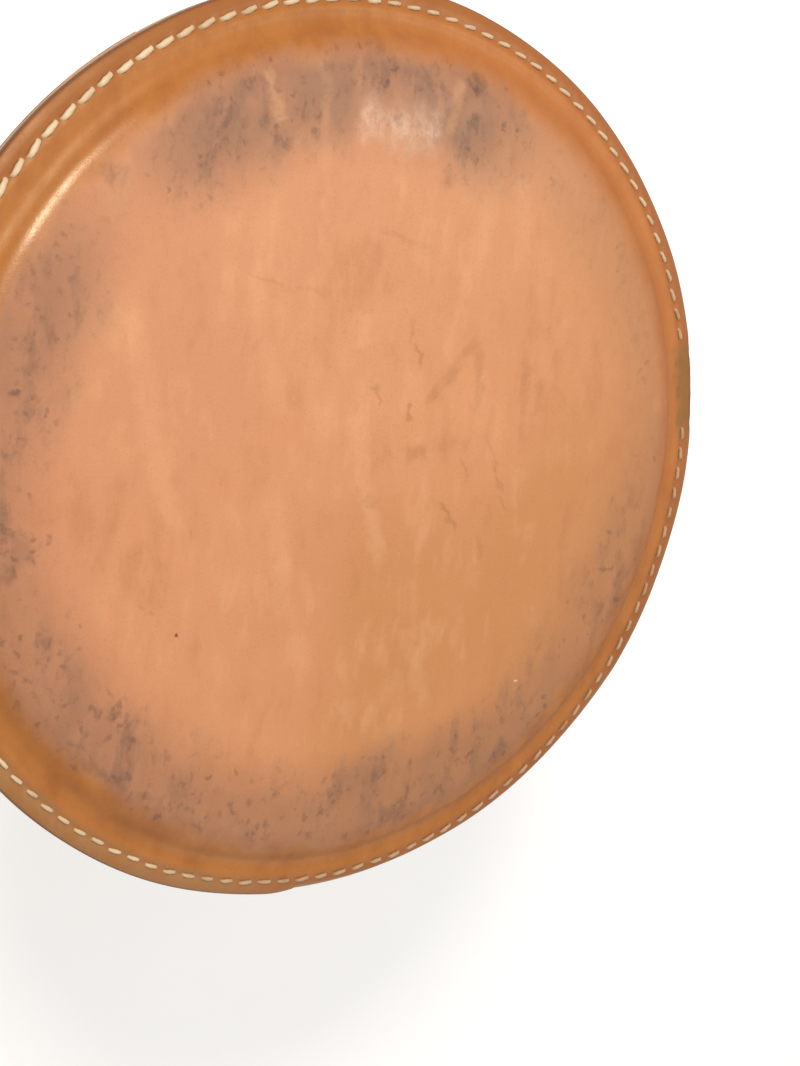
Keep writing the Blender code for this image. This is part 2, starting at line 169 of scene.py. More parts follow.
# %% A socket that does arithmetic
class Value:
    """A socket of a finish; arithmetic on it adds Math nodes."""

    def __init__(self, finish, socket):
        self.finish = finish
        self.socket = socket

    def math(self, operation, *others):
        return self.finish.node("Math", {"operation": operation}, *others)

    def __add__(self, other):
        return self.math("ADD", self, other)

    def __sub__(self, other):
        return self.math("SUBTRACT", self, other)

    def __rsub__(self, other):
        return self.math("SUBTRACT", other, self)

    def __mul__(self, other):
        return self.math("MULTIPLY", self, other)

    def __truediv__(self, other):
        return self.math("DIVIDE", self, other)

    def __rtruediv__(self, other):
        return self.math("DIVIDE", other, self)

    __radd__ = __add__
    __rmul__ = __mul__

    def above(self, low, high):
        """0 below low, 1 above high, and smooth between; low may be the larger."""
        settings = {"interpolation_type": "SMOOTHSTEP", "clamp": True}
        return self.finish.node("MapRange", settings, self, low, high, 0.0, 1.0)

    def most(self, other):
        return self.math("MAXIMUM", self, other)

    def least(self, other):
        return self.math("MINIMUM", self, other)


# %% A finish and its nodes
def srgb(red, green, blue):
    """A colour as a paint chart gives it, 0 to 255, as the linear light that Blender mixes."""
    return tuple((c / 255 / 12.92 if c <= 10 else ((c / 255 + 0.055) / 1.055) ** 2.4)
                 for c in (red, green, blue)) + (1.0,)


class Finish:
    """A material with one Principled shader, built up by node()."""

    def __init__(self, name, metallic=0.0, coat=0.0, coat_roughness=0.2, sheen=0.0, specular=0.5,
                 tint=(1.0, 1.0, 1.0, 1.0)):
        self.material = bpy.data.materials.new(name)
        self.material.use_nodes = True
        self.tree = self.material.node_tree
        self.shader = self.tree.nodes["Principled BSDF"]
        fixed = {"Metallic": metallic, "Coat Weight": coat, "Coat Roughness": coat_roughness,
                 "Sheen Weight": sheen, "Specular IOR Level": specular, "Specular Tint": tint}
        for socket, number in fixed.items():
            self.shader.inputs[socket].default_value = number
        self.where = self.node("TexCoord", {}, output="Object")

    def node(self, kind, settings, *values, output=0, **named):
        """Adds a node: its settings are set first, then its sockets by order or by name."""
        made = self.tree.nodes.new("ShaderNode" + kind)
        for setting, choice in settings.items():
            setattr(made, setting, choice)
        sockets = list(enumerate(values)) + [(key.replace("_", " "), v) for key, v in named.items()]
        for key, value in sockets:
            self.feed(made.inputs[key], value)
        return Value(self, made.outputs[output])

    def feed(self, socket, value):
        """Links a Value to a socket, or sets the socket to a constant."""
        if isinstance(value, Value):
            self.tree.links.new(value.socket, socket)
        else:
            socket.default_value = value

    def noise(self, scale, detail=3.0, roughness=0.5, shift=0.0, stretch=None, distortion=0.0, where=None):
        """Soft noise from 0 to 1, about `scale` lumps to the metre."""
        place = where or self.where
        if stretch or shift:
            place = self.node("Mapping", {}, place, (shift, shift * 0.7, shift * 1.3), (0, 0, 0),
                              stretch or (1, 1, 1))
        return self.node("TexNoise", {}, Vector=place, Scale=scale, Detail=detail, Roughness=roughness,
                         Distortion=distortion)

    def cells(self, scale, shift=0.0, where=None):
        """Distance to the nearest of many scattered points, about `scale` of them to the metre."""
        place = self.node("Mapping", {}, where or self.where, (shift, shift, shift))
        return self.node("TexVoronoi", {}, Vector=place, Scale=scale)

    def blend(self, first, second, amount, kind="MIX"):
        """Mixes two colours, each a tuple or an earlier blend."""
        made = self.node("Mix", {"data_type": "RGBA", "blend_type": kind}, amount, output=2)
        inputs = made.socket.node.inputs
        self.feed(inputs[6], first)
        self.feed(inputs[7], second)
        return made

    def axes(self, place=None):
        """The three coordinates of a place."""
        split = self.node("SeparateXYZ", {}, place or self.where)
        return [Value(self, coordinate) for coordinate in split.socket.node.outputs]

    def bump(self, height, distance, strength):
        return self.node("Bump", {}, Height=height, Distance=distance, Strength=strength)

    def done(self, colour, roughness, normal=None, metallic=None, coat=None):
        feeds = {"Base Color": colour, "Roughness": roughness, "Normal": normal, "Metallic": metallic,
                 "Coat Weight": coat}
        for name, value in feeds.items():
            if value is not None:
                self.feed(self.shader.inputs[name], value)
        return self.material


print("srgb white is", srgb(255, 255, 255)[:3])

# %% Floor
floor_paint = Finish("floor_paint", specular=0.1)
floor_grain = floor_paint.noise(6.0, 2.0)
floor_paint.done(floor_paint.blend(srgb(250, 249, 247), srgb(255, 255, 254), floor_grain), 0.9)
floor_mesh = bpy.data.meshes.new("floor")
floor_half = 6.0
floor_mesh.from_pydata([(-floor_half, -floor_half, 0), (floor_half, -floor_half, 0),
                        (floor_half, floor_half, 0), (-floor_half, floor_half, 0)], [], [(0, 1, 2, 3)])
floor_mesh.materials.append(floor_paint.material)
floor_piece = bpy.data.objects.new("floor", floor_mesh)
floor_piece.location.z = -0.0005
bpy.context.scene.collection.objects.link(floor_piece)
print("floor laid")

# %% [markdown]
# ## Making meshes
#
# Nearly everything on the stool is round, so one helper lays rings of points round an axis and
# joins them.  It takes a height for every ring and angle, which lets the same helper make a
# perfectly turned washer and a seat whose leather sags, puckers and wears.  Corners of turned
# parts are rounded in the profile itself, because a real edge is never sharp.


# %% Mesh helpers
def link(name, mesh, finish, matrix=None):
    """A new object with a finish, in its place."""
    mesh.materials.append(finish)
    piece = bpy.data.objects.new(name, mesh)
    bpy.context.scene.collection.objects.link(piece)
    if matrix is not None:
        piece.matrix_world = matrix
    return piece


def mesh_from(name, bm, sharp=35):
    """A mesh from bmesh geometry, smooth except where faces meet at a sharp angle."""
    bmesh.ops.recalc_face_normals(bm, faces=bm.faces)
    mesh = bpy.data.meshes.new(name)
    bm.to_mesh(mesh)
    bm.free()
    mesh.shade_smooth()
    mesh.set_sharp_from_angle(angle=radians(sharp))
    return mesh


def lay_rings(bm, rings, closed):
    """Joins rings of the same number of vertices; a ring of one vertex is a pole."""
    pairs = list(zip(rings, rings[1:]))
    if closed:
        pairs.append((rings[-1], rings[0]))
    for upper, lower in pairs:
        count = max(len(upper), len(lower))
        for i in range(count):
            j = (i + 1) % count
            if len(upper) == 1:
                bm.faces.new((upper[0], lower[i], lower[j]))
            elif len(lower) == 1:
                bm.faces.new((upper[i], lower[0], upper[j]))
            else:
                bm.faces.new((upper[i], lower[i], lower[j], upper[j]))


def rounded(corners, segments=4):
    """A profile from (radius, height, rounding) corners, each rounded by that radius."""
    points = []
    last = len(corners) - 1
    for k, (r, z, rounding) in enumerate(corners):
        if rounding == 0 or k in (0, last):
            points.append((r, z))
            continue
        here = Vector((r, z))
        before = Vector(corners[k - 1][:2]) - here
        after = Vector(corners[k + 1][:2]) - here
        half = before.angle(after) / 2
        reach = min(rounding / tan(half), before.length * 0.49, after.length * 0.49)
        start, end = here + before.normalized() * reach, here + after.normalized() * reach
        for step in range(segments + 1):
            t = step / segments
            point = start.lerp(here, t).lerp(here.lerp(end, t), t)
            points.append((point.x, point.y))
    return points


def turned(name, corners, finish, matrix, steps=64, ring=False, segments=4):
    """A lathe piece; a ring's profile closes on itself instead of on the axis."""
    bm = bmesh.new()
    if ring:
        corners = corners + corners[:1]
    profile = rounded(corners, segments)
    if ring:
        profile = profile[:-1]
    rings = []
    for r, z in profile:
        if r < 0.00001:
            rings.append([bm.verts.new((0, 0, z))])
        else:
            rings.append([bm.verts.new((r * cos(2 * pi * i / steps), r * sin(2 * pi * i / steps), z))
                          for i in range(steps)])
    lay_rings(bm, rings, ring)
    return link(name, mesh_from(name, bm), finish, matrix)


def carve(piece, *tools, operation="DIFFERENCE"):
    """Cuts the piece with closed tool meshes and keeps the result as its own mesh."""
    for tool in tools:
        modifier = piece.modifiers.new("carve", "BOOLEAN")
        modifier.operation = operation
        modifier.object = tool
    bpy.context.view_layer.update()
    seen = piece.evaluated_get(bpy.context.evaluated_depsgraph_get())
    mesh = bpy.data.meshes.new_from_object(seen)
    piece.modifiers.clear()
    piece.data = mesh
    mesh.shade_smooth()
    mesh.set_sharp_from_angle(angle=radians(35))
    for tool in tools:
        bpy.data.objects.remove(tool)
    return piece


def smooth_curve(points):
    """A function through (x, y) points that never overshoots them."""
    slopes = [(b[1] - a[1]) / (b[0] - a[0]) for a, b in zip(points, points[1:])]
    tangents = [slopes[0]]
    for left, right in zip(slopes, slopes[1:]):
        tangents.append(0.0 if left * right <= 0 else 2 * left * right / (left + right))
    tangents.append(slopes[-1])

    def at(x):
        x = min(max(x, points[0][0]), points[-1][0])
        k = next(i for i in range(len(slopes)) if x <= points[i + 1][0])
        (x0, y0), (x1, y1) = points[k], points[k + 1]
        span = x1 - x0
        t = (x - x0) / span
        return (y0 * (1 + 2 * t) * (1 - t) ** 2 + tangents[k] * span * t * (1 - t) ** 2
                + y1 * t * t * (3 - 2 * t) + tangents[k + 1] * span * t * t * (t - 1))
    return at


def ease(x, low, high):
    """0 below low and 1 above high, smooth between."""
    t = min(max((x - low) / (high - low), 0.0), 1.0)
    return t * t * (3 - 2 * t)


def near_angle(angle, middle):
    """How far an angle is from another, in radians, at most half a turn."""
    return abs((angle - middle + pi) % (2 * pi) - pi)


print("helpers ready")

# %% [markdown]
# ## Top leather
#
# The seat's top is one disc of thick vegetable tanned leather.  It was moulded wet over the
# board, so it stands up as a low plateau with a round shoulder, drops to a narrow valley, and is
# flat again where it is sewn.  The last few millimetres outside the stitches droop.  A lathe
# shape gives the section; the rest is what years do: low dents over the crown, a wavy cut edge,
# a patch rubbed flat over one leg's tip, and an edge that is frayed back where a pocket's end
# leaves it without backing.

# %% Top leather's shape
top_height = smooth_curve([(r * MM, z * MM) for r, z in (
    (0, 9.6), (60, 9.4), (100, 9.0), (120, 8.6), (132, 8.0), (138, 6.95), (142, 5.6), (144.5, 4.2),
    (147, 2.1), (149, 0.9), (152, 0.3), (154, 0.45), (156.6, 0.0), (159.5, -0.6), (163.1, -2.2))])
WORN_FROM, WORN_TO = radians(3.4), radians(15.6)
STEP_AT = radians(267.8)
STEP_FADE = radians(60)
STEP_DEEP = 2.5 * MM


def edge_radius(angle):
    """The cut edge: a little wavy, and frayed back beyond the step, which has a rounded corner."""
    wave = 0.25 * MM * sin(5 * angle + 1.0) + 0.15 * MM * sin(13 * angle + 2.0) - 0.4 * MM
    past = (angle - STEP_AT) % (2 * pi)
    before = (STEP_AT - angle) % (2 * pi)
    depth = 0.0
    if past < STEP_FADE:
        depth = STEP_DEEP * (0.45 + 0.55 * ease(past, 0, radians(1.6))) * (1 - (past / STEP_FADE) ** 3)
    elif before < radians(4):
        depth = STEP_DEEP * 0.45 * (1 - before / radians(4)) ** 2
    return SEAT_R + wave - depth


def worn(radius, angle):
    """1 in the rubbed patch at the rim, 0 away from it."""
    middle, half = (WORN_FROM + WORN_TO) / 2, (WORN_TO - WORN_FROM) / 2
    along = 1 - ease(near_angle(angle, middle), half * 0.8, half * 1.25)
    return along * ease(radius, STITCH_R - 5 * MM, STITCH_R - 2 * MM)


def stitch_pull(radius, angle):
    """The groove that the thread presses, deepest at the holes between stitches."""
    across = exp(-((radius - STITCH_R) / (1.7 * MM)) ** 2)
    hole = 0.5 + 0.5 * cos(STITCHES * angle + pi)
    return across * (0.4 + 0.35 * hole ** 2) * MM * (1 - worn(radius, angle))


def top_surface(radius, angle):
    """Height of the grain side over the stitch line."""
    edge = edge_radius(angle)
    margin = STITCH_R + (radius - STITCH_R) * (SEAT_R - STITCH_R) / (edge - STITCH_R)
    z = top_height(margin if radius > STITCH_R else radius)
    place = Vector((radius * cos(angle), radius * sin(angle), 0))
    on_crown = 1 - ease(radius, 120 * MM, 150 * MM)
    z += noise.noise(place * 14) * 0.45 * MM * on_crown
    z += noise.noise(place * 38 + Vector((5, 1, 0))) * 0.16 * MM
    z += noise.noise(place * 90 + Vector((1, 7, 0))) * 0.05 * MM
    z -= stitch_pull(radius, angle)
    z -= worn(radius, angle) * (0.5 + 0.35 * noise.noise(place * 300)) * MM
    return z


def spread(low, high, count):
    return [low + (high - low) * k / count for k in range(count)]


AROUND = STITCHES * 8
RADII = (spread(4 * MM, 128 * MM, 34) + spread(128 * MM, 150 * MM, 18) + spread(150 * MM, STITCH_R, 8)
         + [STITCH_R])
MARGIN = (0.2, 0.4, 0.6, 0.8, 0.93)              # shares of the way from stitches to edge


def leather_rings(bm, surface, edge_of, thickness, radii, margin, around, under_radii):
    """Rings over the grain side, round a burnished edge and back under the flesh side."""
    rings = [[bm.verts.new((0, 0, surface(0, 0)))]]
    angles = [2 * pi * i / around for i in range(around)]

    def ring(radius_at, drop):
        made = []
        for angle in angles:
            radius = radius_at(angle)
            z = surface(min(radius, edge_of(angle)), angle) - drop(angle)
            made.append(bm.verts.new((radius * cos(angle), radius * sin(angle), z)))
        rings.append(made)

    for radius in radii:
        ring(lambda angle, r=radius: r, lambda angle: 0)
    for share in margin:
        ring(lambda angle, s=share: STITCH_R + (edge_of(angle) - 0.6 * MM - STITCH_R) * s, lambda angle: 0)
    for out, down in ((-0.45, 0.03), (-0.12, 0.13), (0.0, 0.32), (0.05, 0.5), (0.0, 0.68), (-0.15, 0.88),
                      (-0.5, 1.0)):
        ring(lambda angle, o=out: edge_of(angle) + o * MM, lambda angle, d=down: thickness * d)
    flat = {}
    for radius in under_radii:
        made = []
        for angle in angles:
            z = flat.setdefault(radius, under_height(radius)) - thickness
            made.append(bm.verts.new((radius * cos(angle), radius * sin(angle), z)))
        rings.append(made)
    rings.append([bm.verts.new((0, 0, under_height(0) - thickness))])
    lay_rings(bm, rings, False)


def under_height(radius):
    """The grain side's height without wear, from which the flesh side is measured."""
    return top_height(radius)


bm = bmesh.new()
leather_rings(bm, top_surface, edge_radius, TOP_LEATHER, RADII, MARGIN, AROUND,
              [r * MM for r in (158, 154, 150, 146, 142, 138, 130, 100, 50)])
top_mesh = mesh_from("top_leather", bm, sharp=60)
print("top leather:", len(top_mesh.polygons), "faces")

# %% [markdown]
# ## Saddle leather
#
# Vegetable tanned leather darkens with light and grease, and pales where it is rubbed.  So the
# finish is laid down in the order in which it happened: an orange brown hide, whose rim kept its
# colour and polish; a crown rubbed pinkish and dry by sitting; purple grey stains gathered round
# the crown, where damp dried last; specks and a few ink-dark spots in them; growth lines and
# scratches; a darker margin outside the stitches, and a greenish scuff where the leg has pressed.
# The stains are placed by radius and direction.  Most places of the spots and growth lines, in
# millimetres on the seat, came from a separate measuring script and were typed in below; their
# sizes and strengths, and the pale streaks, were set by eye.

# %% Seat coordinates for the finish
hide = Finish("saddle_leather", specular=0.4, tint=(1.0, 0.86, 0.62, 1.0))
hide_x, hide_y, hide_z = hide.axes()
ground = hide.node("CombineXYZ", {}, hide_x, hide_y, 0.0)
radius_mm = hide.node("VectorMath", {"operation": "LENGTH"}, ground, output="Value") * 1000


def toward(degrees_round):
    """Cosine of the angle between a point's direction and the one given."""
    way = (cos(radians(degrees_round)), sin(radians(degrees_round)), 0)
    along = hide.node("VectorMath", {"operation": "DOT_PRODUCT"}, ground, way, output="Value") * 1000
    return along / radius_mm.most(1.0)


def sector(middle, full, fade):
    """1 within `full` degrees of a direction, fading to 0 at `fade` degrees."""
    return toward(middle).above(cos(radians(fade)), cos(radians(full)))


def spot(x, y, size, soft, wander=None):
    """A round mark at a place given in millimetres."""
    place = wander or ground
    away = hide.node("VectorMath", {"operation": "DISTANCE"}, place, (x * MM, y * MM, 0), output="Value")
    return (away * 1000).above(size + soft, size - soft)


def scratch(start, end, width, soft, wander):
    """A mark along a line between two places, in millimetres."""
    a = Vector((*start, 0)) * MM
    b = Vector((*end, 0)) * MM
    run = b - a
    from_a = hide.node("VectorMath", {"operation": "SUBTRACT"}, wander, tuple(a))
    along = hide.node("VectorMath", {"operation": "DOT_PRODUCT"}, from_a, tuple(run / run.length_squared),
                      output="Value")
    along = along.most(0.0).least(1.0)
    foot = hide.node("VectorMath", {"operation": "SCALE"}, tuple(run), Scale=along)
    away = hide.node("VectorMath", {"operation": "DISTANCE"}, from_a, foot, output="Value") * 1000
    return away.above(width + soft, width) * along.above(0.0, 0.15) * along.above(1.0, 0.85)


ALONG_BACK = (1.0, 0.38, 1.0)         # hide is streaked along the animal's back, here the Y axis
broad = hide.noise(9.0, 3.0, 0.55)
patchy = hide.noise(30.0, 4.0, 0.6, shift=0.31, stretch=(1.0, 0.55, 1.0))
cloudy = hide.noise(95.0, 5.0, 0.62, shift=0.73, stretch=(1.0, 0.6, 1.0))
streaky = hide.noise(120.0, 4.0, 0.6, shift=0.41, stretch=ALONG_BACK)
fine = hide.noise(300.0, 4.0, 0.6, shift=0.17, stretch=(1.0, 0.7, 1.0))
grainy = hide.noise(1100.0, 3.0, 0.6, shift=0.53)
wobble = (patchy - 0.5) * 9 + (cloudy - 0.5) * 4 + (streaky - 0.5) * 5
print("seat coordinates ready")

# %% Colour of the crown and the rim
inset = sector(285, 45, 80) * 3.0      # the rim's golden band is wider on this side
edge_of_crown = radius_mm + wobble + inset
crown = edge_of_crown.above(145.5, 135.5)
warm = toward(150) * radius_mm / 140.0
pink_amount = (warm * 0.5 + broad).above(0.2, 0.9)
crown_pink = hide.blend(srgb(222, 152, 108), srgb(218, 148, 110), pink_amount)
crown_gold = srgb(205, 138, 88)
gold_amount = (0.5 - warm * 0.45 + (broad - 0.5) * 1.2).above(0.35, 1.0)
crown_colour = hide.blend(crown_pink, crown_gold, gold_amount)
pale_streaks = (patchy * 0.5 + streaky * 0.5).above(0.5, 0.66)
crown_colour = hide.blend(crown_colour, srgb(233, 170, 126), pale_streaks * 0.45)
dark_streaks = (patchy * 0.35 + streaky * 0.4 + broad * 0.25).above(0.49, 0.36)
crown_colour = hide.blend(crown_colour, srgb(196, 126, 84), dark_streaks * 0.5)
rim_colour = hide.blend(srgb(188, 116, 55), srgb(173, 102, 46), cloudy.above(0.35, 0.7))
rim_colour = hide.blend(rim_colour, srgb(208, 124, 62), sector(40, 20, 60) * 0.5)
colour = hide.blend(rim_colour, crown_colour, crown)
print("crown and rim coloured")

# %% Stains round the crown
shiver = hide.node("TexNoise", {}, Vector=ground, Scale=170.0, Detail=3.0, output="Color")
shift_by = hide.node("VectorMath", {"operation": "SUBTRACT"}, shiver, (0.5, 0.5, 0.5))
shift_by = hide.node("VectorMath", {"operation": "SCALE"}, shift_by, Scale=0.008)
wandering = hide.node("VectorMath", {"operation": "ADD"}, ground, shift_by)
band = radius_mm + (patchy - 0.5) * 22 + (streaky - 0.5) * 10 + inset
ring_band = band.above(104.0, 131.0) * band.above(146.0, 136.5)
wide_band = band.above(98.0, 126.0) * band.above(146.5, 135.0)
top_arc = sector(98, 20, 42)
low_arc = sector(265, 24, 56)
left_arc = sector(186, 26, 54)
right_arc = sector(315, 14, 54) * 0.62 + sector(28, 22, 60) * 0.3
stain = (wide_band * top_arc + ring_band * (low_arc * 1.12 + left_arc * 0.9 + right_arc)).least(1.0)
veil = stain * (0.62 + 0.45 * patchy.above(0.35, 0.6))
colour = hide.blend(colour, srgb(152, 107, 87), (veil * 0.8).least(0.86))
smudge = streaky.above(0.48, 0.68) * stain * (0.4 + 0.6 * broad.above(0.4, 0.6))
colour = hide.blend(colour, srgb(112, 82, 76), smudge * 0.5)
flecks = fine.above(0.52, 0.68) * stain * streaky.above(0.36, 0.56)
colour = hide.blend(colour, srgb(100, 70, 66), flecks * 0.42)
cell_points = hide.cells(170.0, shift=0.21, where=wandering)
dots = cell_points.above(0.3, 0.12) * cloudy.above(0.44, 0.58) * stain.above(0.1, 0.5)
colour = hide.blend(colour, srgb(88, 64, 66), dots * 0.42)
print("stains laid")

# %% Spots, growth lines, scratches and a painted highlight
def strongest(shape, rows):
    """The strongest of many marks; each row is a mark's place and form, then its strength."""
    total = None
    for *form, strength in rows:
        mark = shape(*form, wandering) * strength
        total = mark if total is None else total.most(mark)
    return total


ink = strongest(spot, (
        (-65, -58, 1.2, 0.5, 1.0), (-86, -83, 2.0, 1.0, 0.75), (-127, 24, 1.6, 0.9, 0.8),
        (-97, 94, 3.4, 3.0, 0.5), (-36, 108, 1.6, 1.0, 0.55), (-50, 125, 3.0, 2.6, 0.4),
        (37, 132, 4.0, 2.6, 0.75), (37, 120, 2.2, 1.4, 0.6), (28, 100, 2.4, 1.8, 0.35),
        (24, 130, 2.4, 2.4, 0.45), (4, 28, 0.9, 0.8, 0.35), (-119, -22, 1.2, 0.8, 0.6),
        (-113, -22, 1.1, 0.7, 0.6), (-118, -29, 1.2, 0.8, 0.6), (-126, -34, 2.4, 2.0, 0.6),
        (-111, -57, 2.0, 1.6, 0.6), (-100, -52, 0.9, 0.7, 0.5), (-83, -28, 0.9, 0.8, 0.35),
        (-96, -90, 1.4, 1.2, 0.45), (-72, -114, 2.2, 2.2, 0.45), (-21, -117, 1.6, 1.4, 0.4)))
ink = ink * (0.35 + 0.65 * fine.above(0.35, 0.6))
colour = hide.blend(colour, srgb(84, 62, 62), ink * 0.85)
lines = strongest(scratch, (
        ((48, 46), (26, 20), 0.8, 3.6, 0.5), ((37, 32), (29, 21), 0.2, 1.2, 0.7),
        ((15, 56), (24, 33), 0.2, 1.5, 0.6), ((5, 29), (9, 21), 0.2, 1.4, 0.6),
        ((20, 21), (20, 14), 0.5, 1.6, 0.6), ((20, 3), (30, 4), 0.8, 3.5, 0.5),
        ((30, 7), (48, 6), 0.8, 4.5, 0.3), ((42, 6), (49, -9), 0.2, 1.3, 0.5),
        ((54, 12), (68, -22), 0.2, 1.5, 0.5), ((33, -12), (45, -24), 0.2, 1.3, 0.6),
        ((4, -11), (10, -15), 0.8, 3.4, 0.5), ((76, 31), (77, 16), 0.8, 3.2, 0.5),
        ((69, 42), (71, 16), 0.4, 2.4, 0.4), ((47, 44), (51, 15), 0.4, 2.6, 0.35),
        ((55, -24), (57, -38), 0.3, 2.2, 0.4), ((-50, 64), (-16, 58), 0.2, 1.5, 0.3),
        ((-82, -44), (-70, -54), 0.2, 1.2, 0.35), ((0, 82), (26, 74), 0.3, 2.2, 0.3),
        ((94, -20), (98, -60), 0.4, 2.6, 0.3), ((60, 78), (84, 60), 0.3, 2.4, 0.25)))
lines = lines * (0.25 + 0.75 * cloudy.above(0.35, 0.62))
colour = hide.blend(colour, srgb(176, 118, 74), lines * 0.9)
pale = strongest(scratch, (
        ((-92, 62), (-68, -28), 1.0, 6.0, 0.45), ((-4, 24), (14, -40), 1.0, 4.0, 0.5),
        ((-46, 131), (-38, 112), 0.4, 3.0, 0.55), ((30, 134), (27, 114), 0.3, 3.4, 0.5),
        ((-24, 142), (-20, 70), 0.2, 3.0, 0.32), ((-46, 60), (-30, 14), 1.0, 5.5, 0.35),
        ((-34, 0), (-26, -44), 1.0, 4.0, 0.3), ((-3, 54), (-1, 40), 2.0, 5.0, 0.45),
        ((26, -60), (40, -92), 1.0, 4.0, 0.3), ((60, 104), (64, 70), 1.0, 5.0, 0.35)))
pale = pale * (0.4 + 0.6 * cloudy.above(0.35, 0.6))
colour = hide.blend(colour, srgb(240, 180, 136), pale * 0.6 * crown)
# Painted highlight: a pale sheen painted across the top of the crown, also made glossier below.
painted_sheen = scratch((-12, 117), (26, 116), 1.0, 11.0, wandering)
painted_sheen = painted_sheen * (0.45 + 0.55 * fine.above(0.4, 0.6)) * (0.6 + 0.4 * streaky.above(0.35, 0.6))
colour = hide.blend(colour, srgb(246, 206, 184), painted_sheen * 0.36)
fleck = spot(80, -84, 0.7, 0.6, wandering)
colour = hide.blend(colour, srgb(250, 226, 200), fleck * 0.8)
print("marks placed")

# %% Margin, scuff and grain
margin_dark = radius_mm.above(153.5, 158.0)
colour = hide.blend(colour, srgb(150, 86, 44), margin_dark * 0.5)
scuffed = sector(238, 16, 34) * radius_mm.above(152.0, 157.5) * (0.5 + 0.5 * cloudy.above(0.35, 0.6))
colour = hide.blend(colour, srgb(178, 131, 86), scuffed * 0.75)
leg_scuff = sector(9.5, 3.6, 8.2) * (radius_mm + (fine - 0.5) * 6).above(150.0, 154.5)
colour = hide.blend(colour, srgb(146, 106, 62), leg_scuff * (0.5 + 0.4 * fine.above(0.35, 0.65)))
edge_wear = hide_z.above(-0.0016, -0.0028) * radius_mm.above(157.0, 158.0)
colour = hide.blend(colour, srgb(98, 56, 30), edge_wear * 0.85)
flesh = hide_z.above(-0.0032, -0.0036) * radius_mm.above(160.0, 159.0)
colour = hide.blend(colour, srgb(150, 108, 72), flesh)
colour = hide.blend(colour, srgb(120, 74, 44), grainy.above(0.5, 0.75) * 0.12)
colour = hide.blend(colour, (0.673, 0.668, 0.624, 1.0), 1.0, kind="MULTIPLY")
pores = hide.cells(900.0, shift=0.4)
pore_pits = pores.above(0.18, 0.05)
height = (grainy * 0.4 + fine * 0.5 + cloudy * 0.5) * (0.6 + 0.4 * crown) - pore_pits * 0.3
height = height - lines * 0.5 - ink * 0.2 - dots * 0.1
surface = hide.bump(height, 0.00022, 0.55)
burnished = radius_mm.above(139.0, 141.5) * radius_mm.above(148.0, 145.5)
burnished = burnished * sector(150, 55, 105)      # rubbed bright where the seat is carried
shine = 0.47 - burnished * 0.19 + (cloudy - 0.5) * 0.22 + stain * 0.02 + leg_scuff * 0.3 + scuffed * 0.15
shine = shine + flesh * 0.35 + (fine - 0.5) * 0.12
shine = shine - painted_sheen * 0.14
hide.done(colour, shine.most(0.2).least(0.9), surface)
top_leather = link("top_leather", top_mesh, hide.material, seat_frame)
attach(top_leather, "seat")
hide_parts("seat_top_leather")
print("top leather finished with", len(hide.tree.nodes), "nodes")

# %% [markdown]
# ## Stitches
#
# The thread is waxed linen of two plies, sewn by hand through both leathers.  Each stitch comes
# up through one hole and goes down through the next, so it shows as a short plump bar with its
# ends pulled in.  An awl makes slanted holes, which tips every bar a few degrees.  No two are
# quite the same length.  All the bars of one side are one mesh, and the ones rubbed away over
# pocket 2 are left out.

# %% Thread finish
thread = Finish("waxed_thread", specular=0.4, sheen=0.15)
thread_x, thread_y = thread.axes()[:2]
thread_ground = thread.node("CombineXYZ", {}, thread_x, thread_y, 0.0)


def thread_toward(middle, full, fade):
    """1 where the seam runs within `full` degrees of a direction, 0 beyond `fade`."""
    way = (cos(radians(middle)) / STITCH_R, sin(radians(middle)) / STITCH_R, 0)
    along = thread.node("VectorMath", {"operation": "DOT_PRODUCT"}, thread_ground, way, output="Value")
    return along.above(cos(radians(fade)), cos(radians(full)))


thread_dirt = thread.noise(160.0, 4.0, 0.65)
thread_soil = thread.noise(26.0, 2.0, 0.6, shift=0.4)
soiled = thread_toward(318, 48, 80) * 0.62 + thread_toward(60, 30, 50) * 0.2
soiled = (soiled + thread_soil.above(0.45, 0.7) * 0.35 + thread_dirt.above(0.45, 0.7) * 0.25).least(0.92)
thread_colour = thread.blend(srgb(198, 176, 140), srgb(142, 98, 62), soiled)
thread_fibre = thread.noise(2600.0, 2.0, 0.6)
thread_colour = thread.blend(thread_colour, srgb(120, 82, 50), thread_fibre.above(0.55, 0.75) * 0.3)
thread.done(thread_colour, 0.52 + (thread_dirt - 0.5) * 0.2, thread.bump(thread_fibre, 0.00012, 0.4))
print("thread finished")


